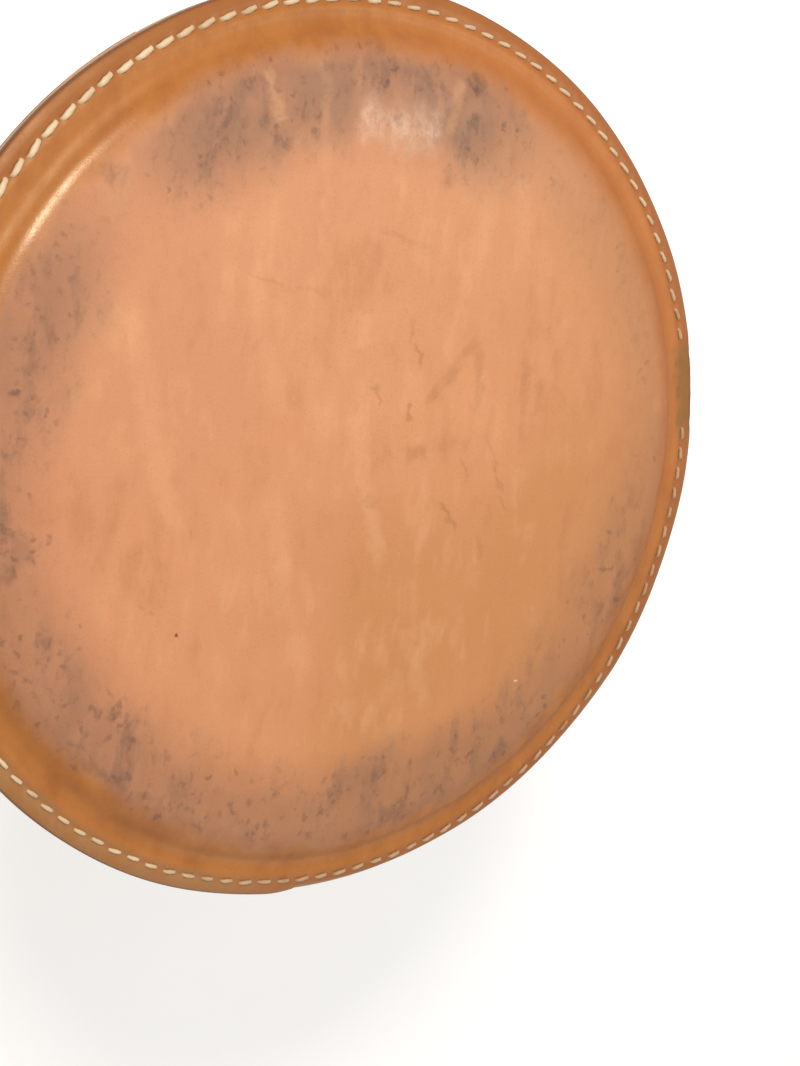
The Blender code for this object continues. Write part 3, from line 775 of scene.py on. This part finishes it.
# %% Stitches
def sew(name, finish, height_of, upward, skip):
    """Every stitch of one side of the seam as one mesh, on a surface given by height_of."""
    bm = bmesh.new()
    along_steps, around_steps = 9, 8
    for k in range(STITCHES):
        angle = 2 * pi * k / STITCHES
        if skip(angle):
            continue
        jitter = Vector((noise.noise((k * 3.7, 0.5, 0)), noise.noise((k * 2.9, 5.5, 0)),
                         noise.noise((k * 4.3, 9.5, 0))))
        full = 1 - ease(near_angle(angle, radians(135)), radians(12), radians(50))
        length = (5.7 + 1.6 * full + 0.9 * jitter.x) * MM
        centre = Vector((cos(angle), sin(angle), 0)) * (STITCH_R + 0.45 * MM * jitter.y)
        slant = radians(7 + 8 * jitter.z) * upward
        forward = Matrix.Rotation(slant, 3, "Z") @ Vector((-sin(angle), cos(angle), 0))
        across = forward.cross(Vector((0, 0, 1)))
        rings = []
        for i in range(along_steps + 1):
            s = 2 * i / along_steps - 1
            place = centre + forward * (s * length / 2)
            surface_z = height_of(place.length, atan2(place.y, place.x))
            rise = (0.42 - 1.2 * abs(s) ** 6) * MM
            half_wide = (0.74 + 0.32 * full - 0.28 * abs(s) ** 4) * MM
            half_high = (0.62 + 0.2 * full - 0.2 * abs(s) ** 4) * MM
            ring = []
            for j in range(around_steps):
                turn = 2 * pi * j / around_steps
                ply = 1 + 0.11 * cos(2 * turn + s * 5.5)
                offset = across * (half_wide * cos(turn) * ply)
                lift = surface_z + upward * (rise + half_high * sin(turn) * ply)
                ring.append(bm.verts.new((place.x + offset.x, place.y + offset.y, lift)))
            rings.append(ring)
        lay_rings(bm, rings, False)
        bm.faces.new(rings[0])
        bm.faces.new(rings[-1])
    return link(name, mesh_from(name, bm, sharp=80), finish, seat_frame)


def over_worn(angle):
    return WORN_FROM < angle < WORN_TO


rim_stitches = sew("rim_stitches", thread.material, top_surface, 1, over_worn)
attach(rim_stitches, "seat")
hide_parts("seat_edge_stitching")
print("rim stitches:", len(rim_stitches.data.polygons), "faces")

# %% [markdown]
# ## Bottom leather and pockets
#
# The underside is a second disc, flesh side out: matt, fibrous and paler, with a soft fuzz that
# scatters light.  The pockets are cut from the same hide.  Each is sewn flat under the rim and
# then narrows like a funnel to hold a leg's tip.

# %% Flesh side finish
BOTTOM_R = 162.4 * MM
bottom_height = smooth_curve([(r * MM, z * MM) for r, z in (
    (0, -5.7), (136, -5.7), (141.5, -5.4), (147, -4.1), (152, -3.5), (156.6, -3.6), (162.4, -5.5))])


def flesh_finish(name, tone):
    """Suede-like leather: mottled, scuffed and hairy, darker where it is handled."""
    made = Finish(name, sheen=0.35, specular=0.25)
    mottle = made.noise(30.0, 4.0, 0.6)
    nap = made.noise(420.0, 4.0, 0.7, stretch=(1.0, 1.6, 1.0))
    hair = made.noise(2400.0, 3.0, 0.7, shift=0.3)
    shade = made.blend(srgb(*tone), srgb(*[c * 0.8 for c in tone]), mottle.above(0.35, 0.68))
    shade = made.blend(shade, srgb(*[min(c * 1.12, 255) for c in tone]), nap.above(0.5, 0.75) * 0.5)
    shade = made.blend(shade, srgb(*[c * 0.62 for c in tone]), hair.above(0.52, 0.78) * 0.3)
    bumps = made.bump(nap * 0.6 + hair * 0.5, 0.0003, 0.5)
    made.done(shade, 0.86 + (nap - 0.5) * 0.15, bumps)
    return made.material


under_leather = flesh_finish("under_leather", (176, 128, 86))
pocket_leather = flesh_finish("pocket_leather", (164, 112, 70))
print("flesh side finished")


# %% Bottom leather
def bottom_surface(radius, angle):
    place = Vector((radius * cos(angle), radius * sin(angle), 0))
    inside = 1 - ease(radius, 141 * MM, 148 * MM)
    wave = noise.noise(place * 30 + Vector((3, 3, 3))) * 0.1 * MM
    return bottom_height(min(radius, BOTTOM_R)) + wave * (1 - inside)


def bottom_underside(radius, angle):
    """Height of the outer, flesh side, with the seam's groove."""
    across = exp(-((radius - STITCH_R) / (1.7 * MM)) ** 2)
    place = Vector((radius * cos(angle), radius * sin(angle), 0))
    sag = noise.noise(place * 22) * 0.25 * MM
    return bottom_height(min(radius, BOTTOM_R)) - BOTTOM_LEATHER + across * 0.3 * MM + sag


def bottom_disc(name):
    """The bottom leather as a closed disc."""
    bm = bmesh.new()
    around = STITCHES * 3
    angles = [2 * pi * i / around for i in range(around)]
    out = [r * MM for r in (30, 60, 90, 120, 136, 139, 142, 145, 148, 151, 154, 156.6, 159, 161, 162)]
    back = [r * MM for r in (162, 161, 159.5, 158.2, 157.2, 156.6, 156.0, 155, 153, 151, 148, 145, 142,
                             139, 136, 125, 110, 90, 70, 50, 25)]
    rings = [[bm.verts.new((0, 0, bottom_height(0)))]]
    for radius in out:
        rings.append([bm.verts.new((radius * cos(a), radius * sin(a), bottom_surface(radius, a)))
                      for a in angles])
    for push, down in ((0.3, 0.25), (0.4, 0.5), (0.3, 0.75)):
        radius = BOTTOM_R - 0.4 * MM + push * MM
        level = bottom_height(BOTTOM_R) - BOTTOM_LEATHER * down
        rings.append([bm.verts.new((radius * cos(a), radius * sin(a), level)) for a in angles])
    for radius in back:
        rings.append([bm.verts.new((radius * cos(a), radius * sin(a), bottom_underside(radius, a)))
                      for a in angles])
    rings.append([bm.verts.new((0, 0, bottom_underside(0, 0)))])
    lay_rings(bm, rings, False)
    return link(name, mesh_from(name, bm, sharp=60), under_leather, seat_frame)


bottom_leather = bottom_disc("bottom_leather")
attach(bottom_leather, "seat")
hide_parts("seat_bottom_leather")
print("bottom leather:", len(bottom_leather.data.polygons), "faces")

# %% Pockets
POCKET_HALF = radians(13.0)
POCKET_THICK = 2.4 * MM
POCKET_DEPTH = 38.0 * MM
POCKET_SWING = atan2(LEG_OFFSET, TIP_REACH)
POCKET_FOLD = 153.0 * MM
tip_point = Vector((TIP_RADIUS, 0, HUB_Z + LEG_UPPER * cos(LEG_TILT) - STITCH_Z))
pocket_middle = atan2(sin(POCKET_SWING) * (POCKET_FOLD - TIP_RADIUS), POCKET_FOLD)


def pocket_point(across_share, down_share):
    """A point of a pocket's middle surface: across from -1 to 1, down from 0 at the rim to 1."""
    out = Vector((cos(POCKET_SWING), sin(POCKET_SWING), 0))
    sideways = Vector((-out.y, out.x, 0))
    leg_up = out * sin(LEG_TILT) + Vector((0, 0, cos(LEG_TILT)))
    leg_out = out * cos(LEG_TILT) - Vector((0, 0, sin(LEG_TILT)))
    angle = pocket_middle + POCKET_HALF * across_share
    wrap = radians(88) * across_share
    drop = BOTTOM_LEATHER + GAP + POCKET_THICK / 2

    def under_rim(radius):
        return Vector((radius * cos(angle), radius * sin(angle), bottom_height(radius) - drop))

    flange = 0.16
    if down_share < flange:
        return under_rim(162 * MM + (POCKET_FOLD - 162 * MM) * down_share / flange)
    share = (down_share - flange) / (1 - flange)
    ring_radius = CAP_R + 1.0 * MM + POCKET_THICK / 2
    low = (tip_point - leg_up * POCKET_DEPTH
           + ring_radius * (sideways * sin(wrap) + leg_out * cos(wrap)))
    bulge = (leg_out * cos(wrap) + sideways * sin(wrap) * 0.4) * 2.5 * MM * sin(pi * share)
    wrinkle = noise.noise(Vector((across_share * 2.2, share * 3.0, 4))) * 0.5 * MM * sin(pi * share)
    return under_rim(POCKET_FOLD).lerp(low, share) + bulge + leg_out * wrinkle


def pocket(number):
    """One pocket as a closed shell of leather with rounded edges."""
    across_steps, down_steps = 44, 40
    bm = bmesh.new()
    middle = [[pocket_point(2 * i / across_steps - 1, j / down_steps) for j in range(down_steps + 1)]
              for i in range(across_steps + 1)]
    sheets = []
    for side in (1, -1):
        sheet = []
        for i in range(across_steps + 1):
            column = []
            for j in range(down_steps + 1):
                a = middle[min(i + 1, across_steps)][j] - middle[max(i - 1, 0)][j]
                b = middle[i][min(j + 1, down_steps)] - middle[i][max(j - 1, 0)]
                rim = min(i, across_steps - i, j, down_steps - j)
                thin = (0.62, 0.9)[rim] if rim < 2 else 1.0
                normal = a.cross(b).normalized() * side
                column.append(bm.verts.new(middle[i][j] + normal * POCKET_THICK / 2 * thin))
            sheet.append(column)
        sheets.append(sheet)
    for sheet in sheets:
        for i in range(across_steps):
            for j in range(down_steps):
                bm.faces.new((sheet[i][j], sheet[i + 1][j], sheet[i + 1][j + 1], sheet[i][j + 1]))
    loop = [(i, 0) for i in range(across_steps)] + [(across_steps, j) for j in range(down_steps)]
    loop += [(i, down_steps) for i in range(across_steps, 0, -1)]
    loop += [(0, j) for j in range(down_steps, 0, -1)]
    for (i0, j0), (i1, j1) in zip(loop, loop[1:] + loop[:1]):
        bm.faces.new((sheets[0][i0][j0], sheets[0][i1][j1], sheets[1][i1][j1], sheets[1][i0][j0]))
    turn = Matrix.Rotation(studs[number] + TIP_TO_STUD - SEAT_TURN, 4, "Z")
    bmesh.ops.transform(bm, matrix=seat_frame @ turn, verts=bm.verts)
    return link(f"pocket_{number}", mesh_from(f"pocket_{number}", bm, sharp=70), pocket_leather)


for number in (1, 2, 3):
    made = pocket(number)
    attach(made, "seat")
    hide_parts(f"leg_pocket_{number}")
print("three pockets hung")


# %% Stitches underneath
def seam_below(radius, angle):
    """Height of what the under side of the seam crosses: a pocket's flange, or the leather."""
    for stud in studs.values():
        tip = stud + TIP_TO_STUD - SEAT_TURN + pocket_middle
        if near_angle(angle, tip) < POCKET_HALF:
            return bottom_height(radius) - BOTTOM_LEATHER - GAP - POCKET_THICK
    return bottom_underside(radius, angle)


under_stitches = sew("under_stitches", thread.material, seam_below, -1, lambda angle: False)
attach(under_stitches, "seat")
print("under stitches:", len(under_stitches.data.polygons), "faces")

# %% [markdown]
# ## Board and felt
#
# Neither shows once the seat is sewn, but a model that is taken apart should still look right.
# The board keeps the frame's own solid and only needs its finish, with plies along its edge.  The
# felt pad is a soft piece, so it gets its own gently crowned, rounded shape.

# %% Board
ply = Finish("birch_plywood", specular=0.3)
ply_grain = ply.noise(16.0, 4.0, 0.6, stretch=(1.0, 14.0, 1.0), distortion=0.4)
ply_colour = ply.blend(srgb(222, 192, 150), srgb(196, 160, 114), ply_grain.above(0.4, 0.62))
ply_height = ply.axes()[2]
ply_layers = ply.node("Math", {"operation": "PINGPONG"}, ply_height * 1000, 0.8)
ply_colour = ply.blend(ply_colour, srgb(150, 110, 72), ply_layers.above(0.45, 0.55) * 0.35)
ply.done(ply_colour, 0.7 + (ply_grain - 0.5) * 0.15, ply.bump(ply_grain, 0.0002, 0.3))
board_data = bpy.data.objects["seat_board"].data
board_data.materials.clear()
board_data.materials.append(ply.material)
print("board finished")

# %% Felt pad
FELT_R = 136.0 * MM
felt = Finish("wool_felt", sheen=0.6, specular=0.1)
felt_clumps = felt.noise(140.0, 4.0, 0.7)
felt_fibre = felt.noise(1500.0, 3.0, 0.7, distortion=0.6)
felt_colour = felt.blend(srgb(128, 121, 112), srgb(96, 90, 83), felt_clumps.above(0.4, 0.6))
felt_colour = felt.blend(felt_colour, srgb(170, 160, 148), felt_fibre.above(0.6, 0.8) * 0.4)
felt.done(felt_colour, 0.94 - felt_clumps * 0.05, felt.bump(felt_fibre * 0.6 + felt_clumps, 0.0004, 0.5))
FELT_LOW = 2.9 * MM
felt_edge = top_height(FELT_R) - TOP_LEATHER - GAP
felt_profile = [(0, top_height(0) - TOP_LEATHER - 1.2 * MM, 0)]
felt_profile += [(r * MM, top_height(r * MM) - TOP_LEATHER - 1.2 * MM, 0) for r in (30, 60, 90, 110, 124)]
felt_profile += [(FELT_R, felt_edge - 0.9 * MM, 0.5 * MM), (FELT_R, FELT_LOW, 0.3 * MM), (0, FELT_LOW, 0)]
felt_pad = turned("felt_pad", felt_profile, felt.material, seat_frame, steps=96)
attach(felt_pad, "seat")
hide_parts("seat_felt_pad")
print("felt pad laid")

# %% [markdown]
# ## Wood, brass, steel and rubber
#
# The legs are turned ash: open straight grain along the leg, with darker rings that widen into
# long loops where the wood tapers.  Their finish must follow the leg and not the room, so every
# leg piece keeps its place along its own leg in an attribute called `own`, and the grain reads
# that.  Brass has gone brown in the dull spots, the steel hub is satin, and the rubber has a bloom.


# %% Finishes of the legs and fittings
def own(finish):
    """The place in the piece's own leg or bolt."""
    return finish.node("Attribute", {"attribute_name": "own"}, output="Vector")


ash = Finish("ash_wood", coat=0.25, coat_roughness=0.35)
ash_place = own(ash)
ash_wave = ash.node("Mapping", {}, ash_place, (0.0, 0.0, 0.0), (0.02, 0.05, 0.0), (1.0, 1.0, 0.06))
ash_bend = ash.noise(16.0, 3.0, 0.55, where=ash_wave)
ash_across, _, ash_along = ash.axes(ash_place)
ash_rings = ash.node("Math", {"operation": "SINE"}, ash_across * 1900 + ash_bend * 34 + ash_along * 12)
ash_late = ash_rings.above(0.25, 0.95)
ash_fine = ash.node("Mapping", {}, ash_place, (0, 0, 0), (0, 0, 0), (1.0, 1.0, 0.025))
ash_pore = ash.noise(2600.0, 2.0, 0.6, where=ash_fine)
ash_tone = ash.noise(9.0, 2.0, 0.5, where=ash_place)
ash_colour = ash.blend(srgb(206, 168, 118), srgb(186, 142, 92), ash_tone.above(0.35, 0.65))
ash_colour = ash.blend(ash_colour, srgb(156, 110, 68), ash_late * 0.5)
ash_colour = ash.blend(ash_colour, srgb(112, 76, 46), ash_pore.above(0.56, 0.7) * (0.25 + 0.6 * ash_late))
ash_dirt = ash.noise(34.0, 4.0, 0.65, where=ash_place)
ash_colour = ash.blend(ash_colour, srgb(96, 68, 44), ash_dirt.above(0.56, 0.8) * 0.4)
ash.done(ash_colour, 0.46 + (ash_dirt - 0.5) * 0.25 + ash_late * 0.05,
         ash.bump(0.0 - ash_pore.above(0.5, 0.7) - ash_late * 0.4, 0.00015, 0.45))


def metal_finish(name, bright, dull, spots, roughness, scale):
    """A satin metal with turning marks round its axis, tarnish clouds and small pits."""
    made = Finish(name, metallic=1.0)
    place = own(made)
    clouds = made.noise(scale, 4.0, 0.6, where=place)
    around = made.node("Mapping", {}, place, (0, 0, 0), (0, 0, 0), (0.05, 0.05, 1.0))
    marks = made.noise(5200.0, 2.0, 0.5, where=around)
    pits = made.noise(900.0, 3.0, 0.7, where=place).above(0.62, 0.75)
    tarnish = clouds.above(0.45, 0.72)
    shade = made.blend(srgb(*bright), srgb(*dull), tarnish * 0.8)
    shade = made.blend(shade, srgb(*spots), pits * (0.3 + 0.5 * tarnish))
    rough = roughness + tarnish * 0.2 + pits * 0.15 + (marks - 0.5) * 0.1
    made.done(shade, rough, made.bump(marks * 0.5 - pits, 0.00008, 0.35), metallic=1.0 - pits * 0.5)
    return made.material


brass = metal_finish("aged_brass", (214, 172, 98), (160, 112, 58), (84, 62, 36), 0.24, 60.0)
steel = metal_finish("satin_steel", (186, 184, 180), (142, 138, 132), (96, 74, 56), 0.3, 70.0)
rubber = Finish("black_rubber", specular=0.35)
rubber_place = own(rubber)
rubber_dust = rubber.noise(80.0, 4.0, 0.65, where=rubber_place)
rubber_skin = rubber.noise(1400.0, 3.0, 0.6, where=rubber_place)
rubber_colour = rubber.blend(srgb(40, 38, 36), srgb(74, 69, 63), rubber_dust.above(0.4, 0.7))
rubber_colour = rubber.blend(rubber_colour, srgb(112, 104, 94), rubber_skin.above(0.6, 0.8) * 0.3)
rubber.done(rubber_colour, 0.72 + rubber_dust * 0.15, rubber.bump(rubber_skin + rubber_dust, 0.0002, 0.4))
print("ash, brass, steel and rubber mixed")

# %% [markdown]
# ## Legs
#
# Each leg is turned on the lathe, flattened on two sides where it hangs on its bolt, and bored
# for its bush.  Local Z runs up the leg from the bolt and local X along the bolt.  The pieces are
# made there once, then copied into place on each leg, so all three legs are the same.

# %% Settling pieces into place
LEG_R = 13.2 * MM
LEG_FLAT = 10.0 * MM
NECK_R = 9.9 * MM
FOOT_R = 16.5 * MM
BUSH_R = 6.0 * MM
BOLT_R = 4.0 * MM


def settle(piece, name, matrix):
    """A copy of the piece's mesh moved to its place, which remembers where it was."""
    mesh = piece.data.copy()
    mesh.name = name
    kept = mesh.attributes.new("own", "FLOAT_VECTOR", "POINT")
    for vertex, stored in zip(mesh.vertices, kept.data):
        stored.vector = vertex.co
    mesh.transform(matrix)
    placed = bpy.data.objects.new(name, mesh)
    bpy.context.scene.collection.objects.link(placed)
    return placed


def give(patterns, matrix_of, body_of):
    """Puts a copy of each pattern piece on every leg or bolt; patterns is {name: piece}."""
    for node, (label, pattern) in patterns.items():
        for number in (1, 2, 3):
            placed = settle(pattern, f"{label}_{number}", matrix_of(number))
            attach(placed, body_of(number))
            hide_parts(f"{node}_{number}")
        bpy.data.objects.remove(pattern)


def leg_place(number):
    pivot = Vector(joints[f"leg_{number}_fold"]["pos_m"])
    return (Matrix.Translation(pivot) @ Matrix.Rotation(studs[number], 4, "Z")
            @ Matrix.Rotation(-LEG_TILT, 4, "X"))


def stud_place(number):
    return (Matrix.Translation(hub_point) @ Matrix.Rotation(studs[number], 4, "Z")
            @ Matrix.Rotation(pi / 2, 4, "Y"))


def block(low, high):
    """A closed box, for cutting."""
    bm = bmesh.new()
    bmesh.ops.create_cube(bm, size=1)
    for vertex in bm.verts:
        vertex.co = [a + (b - a) * (c + 0.5) for a, b, c in zip(low, high, vertex.co)]
    mesh = bpy.data.meshes.new("block")
    bm.to_mesh(mesh)
    bm.free()
    return link("block", mesh, ash.material)


print("leg 1 stands at", [round(c, 3) for c in leg_place(1).translation])

# %% Wooden legs
FERRULE_HIGH = 89.7 * MM - LEG_LOWER
FERRULE_LOW = 47.5 * MM - LEG_LOWER
SOLE_DEPTH = 20 * MM
CAP_LENGTH = 22 * MM
CAP_WALL = 1.3 * MM
cap_neck = CAP_R - CAP_WALL - GAP
cap_shoulder = LEG_UPPER - CAP_LENGTH - GAP
wood_profile = [(0, LEG_UPPER - CAP_WALL - GAP, 0), (cap_neck, LEG_UPPER - CAP_WALL - GAP, 0.5 * MM),
                (cap_neck, cap_shoulder, 0), (CAP_R, cap_shoulder - 0.5 * MM, 0.4 * MM),
                (LEG_R * 0.97, 70 * MM, 20 * MM), (LEG_R, 32 * MM, 8 * MM), (LEG_R, -32 * MM, 8 * MM),
                (LEG_R * 0.97, -80 * MM, 20 * MM), (11.9 * MM, FERRULE_HIGH + 2 * MM, 0.6 * MM),
                (11.4 * MM, FERRULE_HIGH + GAP, 0.3 * MM), (NECK_R, FERRULE_HIGH + GAP, 0),
                (NECK_R, SOLE_DEPTH - LEG_LOWER + 1 * MM, 0.5 * MM),
                (NECK_R - 1 * MM, SOLE_DEPTH - LEG_LOWER, 0), (0, SOLE_DEPTH - LEG_LOWER, 0)]
wood = turned("wood", wood_profile, ash.material, None, steps=72)
bore = turned("bore", [(0, 20 * MM, 0), (BUSH_R + GAP, 20 * MM, 0), (BUSH_R + GAP, -20 * MM, 0),
                       (0, -20 * MM, 0)], ash.material, Matrix.Rotation(pi / 2, 4, "Y"), steps=48)
outer_flat = block((LEG_FLAT, -20 * MM, -25 * MM), (20 * MM, 20 * MM, 25 * MM))
inner_flat = block((-20 * MM, -20 * MM, -25 * MM), (-LEG_FLAT, 20 * MM, 25 * MM))
wood = carve(wood, outer_flat, inner_flat, bore)
give({"leg": ("ash_leg", wood)}, leg_place, lambda number: f"leg_{number}")
print("three ash legs")

# %% Caps, ferrules and bushes
cap = turned("cap", [(0, LEG_UPPER, 0), (CAP_R, LEG_UPPER, CAP_ROUND),
                     (CAP_R, LEG_UPPER - 17 * MM, 0.3 * MM),
                     (CAP_R - 0.35 * MM, LEG_UPPER - 17.5 * MM, 0.2 * MM),
                     (CAP_R, LEG_UPPER - 18 * MM, 0.3 * MM), (CAP_R, LEG_UPPER - CAP_LENGTH, 0.3 * MM),
                     (CAP_R - CAP_WALL, LEG_UPPER - CAP_LENGTH, 0.2 * MM),
                     (CAP_R - CAP_WALL, LEG_UPPER - CAP_WALL, 0), (0, LEG_UPPER - CAP_WALL, 0)],
             brass, None, steps=72, segments=6)
tube_out = 11.9 * MM
ferrule = turned("ferrule", [(tube_out - 0.5 * MM, FERRULE_HIGH, 0.3 * MM),
                             (tube_out + 0.6 * MM, FERRULE_HIGH - 1.2 * MM, 0.6 * MM),
                             (tube_out, FERRULE_HIGH - 2.4 * MM, 0.4 * MM),
                             (tube_out, FERRULE_LOW + 2.4 * MM, 0.4 * MM),
                             (tube_out + 1.2 * MM, FERRULE_LOW + 1.2 * MM, 0.6 * MM),
                             (tube_out, FERRULE_LOW, 0.3 * MM), (NECK_R + GAP, FERRULE_LOW, 0.2 * MM),
                             (NECK_R + GAP, FERRULE_HIGH, 0.2 * MM)], brass, None, steps=72, ring=True)
bush = turned("bush", [(BUSH_R, LEG_FLAT - 0.1 * MM, 0.4 * MM), (BUSH_R, 0.1 * MM - LEG_FLAT, 0.4 * MM),
                       (BOLT_R + GAP, 0.1 * MM - LEG_FLAT, 0.3 * MM),
                       (BOLT_R + GAP, LEG_FLAT - 0.1 * MM, 0.3 * MM)], brass, None, steps=48, ring=True)
bush.data.transform(Matrix.Rotation(pi / 2, 4, "Y"))
give({"top_cap": ("brass_cap", cap), "foot_ferrule": ("ferrule", ferrule), "pivot_bush": ("bush", bush)},
     leg_place, lambda number: f"leg_{number}")
print("brass on the legs")

# %% Rubber feet
below = -LEG_LOWER - FOOT_R * tan(LEG_TILT) - 2 * MM
foot_top = 47 * MM - LEG_LOWER
flare = SOLE_DEPTH - 6 * MM - LEG_LOWER
boot = turned("boot", [(0, SOLE_DEPTH - GAP - LEG_LOWER, 0),
                       (NECK_R + GAP, SOLE_DEPTH - GAP - LEG_LOWER, 0),
                       (NECK_R + GAP, foot_top, 0.5 * MM), (13.0 * MM, foot_top, 0.8 * MM),
                       (14.2 * MM, foot_top - 2 * MM, 0.8 * MM), (14.35 * MM, foot_top - 9 * MM, 0.3 * MM),
                       (13.7 * MM, foot_top - 10 * MM, 0.4 * MM), (14.4 * MM, foot_top - 11 * MM, 0.3 * MM),
                       (14.6 * MM, flare + 3 * MM, 2 * MM), (FOOT_R, flare, 1.5 * MM), (FOOT_R, below, 0),
                       (0, below, 0)], rubber.material, None, steps=72)
for number in (1, 2, 3):
    own_foot = settle(boot, f"rubber_boot_{number}", leg_place(number))
    ground_block = block((-0.5, -0.5, -0.2), (0.5, 0.5, 0))
    carve(own_foot, ground_block)
    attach(own_foot, f"leg_{number}")
    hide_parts(f"rubber_foot_{number}")
bpy.data.objects.remove(boot)
print("three rubber feet")

# %% [markdown]
# ## Hub and bolts
#
# The hub is a six sided steel bar, with its corners eased on the lathe.  A bolt stands out of
# every other face.  Each carries a washer, the leg, another washer and a domed nut whose corners
# are chamfered, so that it can't scratch a hand when the stool is folded.

# %% Hub, bolts, washers and nuts
HUB_FLAT = 10.0 * MM
HUB_HALF = 13.0 * MM
WASHER = 1.5 * MM
WASHER_R = 8.5 * MM
BOLT_START = 6.0 * MM
LEG_OUTER = LEG_OFFSET + LEG_FLAT
NUT_START = LEG_OUTER + GAP + WASHER + GAP
BOLT_END = NUT_START + 5.5 * MM


def hexagon(flat, low, high, finish):
    """A six sided bar, its first face towards +X."""
    corner = flat / cos(pi / 6)
    bm = bmesh.new()
    rings = [[bm.verts.new((corner * cos(pi / 6 + pi / 3 * i), corner * sin(pi / 6 + pi / 3 * i), z))
              for i in range(6)] for z in (high, low)]
    lay_rings(bm, rings, False)
    bm.faces.new(rings[0])
    bm.faces.new(rings[1])
    return link("hexagon", mesh_from("hexagon", bm), finish)


def soften(piece, width):
    """Rounds the piece's edges and keeps the result."""
    bevel = piece.modifiers.new("soften", "BEVEL")
    bevel.width = width
    bevel.segments = 3
    bevel.limit_method = "ANGLE"
    bevel.angle_limit = radians(40)
    return carve(piece)


hub_bar = hexagon(HUB_FLAT, -HUB_HALF, HUB_HALF, steel)
lathe_round = turned("lathe_round", [(0, HUB_HALF, 0), (10.2 * MM, HUB_HALF, 0),
                                     (11.9 * MM, HUB_HALF - 1.2 * MM, 0),
                                     (11.9 * MM, 1.2 * MM - HUB_HALF, 0), (10.2 * MM, -HUB_HALF, 0),
                                     (0, -HUB_HALF, 0)], steel, None, steps=96)
hub_bar = carve(hub_bar, lathe_round, operation="INTERSECT")
bores = []
for number in (1, 2, 3):
    turn = Matrix.Rotation(studs[number] - studs[1], 4, "Z") @ Matrix.Rotation(pi / 2, 4, "Y")
    bores.append(turned("bore", [(0, 13 * MM, 0), (BOLT_R + GAP, 13 * MM, 0),
                                 (BOLT_R + GAP, BOLT_START - GAP, 0),
                                 (0, BOLT_START - GAP, 0)], steel, turn, steps=40))
hub_bar = soften(carve(hub_bar, *bores), 0.35 * MM)
hub_matrix = Matrix.Translation(hub_point) @ Matrix.Rotation(studs[1], 4, "Z")
steel_hub = settle(hub_bar, "steel_hub", hub_matrix)
bpy.data.objects.remove(hub_bar)
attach(steel_hub, "hub")
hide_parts("hub")

bolt = turned("bolt", [(0, BOLT_END, 0), (BOLT_R, BOLT_END, 0.6 * MM), (BOLT_R, BOLT_START, 0.3 * MM),
                       (0, BOLT_START, 0)], steel, None, steps=40)
give({"pivot_bolt": ("bolt", bolt)}, stud_place, lambda number: "hub")


def washer(start):
    return turned("washer", [(WASHER_R, start + WASHER, 0.35 * MM), (WASHER_R, start, 0.35 * MM),
                             (BOLT_R + GAP, start, 0.25 * MM), (BOLT_R + GAP, start + WASHER, 0.25 * MM)],
                  brass, None, steps=56, ring=True)


dome_base = NUT_START + 6 * MM
dome = [(6 * MM * sin(pi / 2 * k / 8), dome_base + 6 * MM * cos(pi / 2 * k / 8), 0) for k in range(9)]
nut = turned("nut", dome + [(7.3 * MM, dome_base - 0.6 * MM, 0.3 * MM), (7.6 * MM, NUT_START + 0.5 * MM, 0),
                            (7.0 * MM, NUT_START, 0), (BOLT_R + GAP, NUT_START, 0),
                            (BOLT_R + GAP, BOLT_END + 0.6 * MM, 0), (0, BOLT_END + 0.6 * MM, 0)],
             brass, None, steps=72)
nut = carve(nut, hexagon(6.5 * MM, NUT_START - 5 * MM, NUT_START + 30 * MM, brass), operation="INTERSECT")
nut = soften(nut, 0.2 * MM)
give({"inner_washer": ("inner_washer_piece", washer(HUB_FLAT + GAP)),
      "outer_washer": ("outer_washer_piece", washer(LEG_OUTER + GAP)),
      "dome_nut": ("nut", nut)}, stud_place, lambda number: "hub")
print("hub, bolts, washers and nuts")
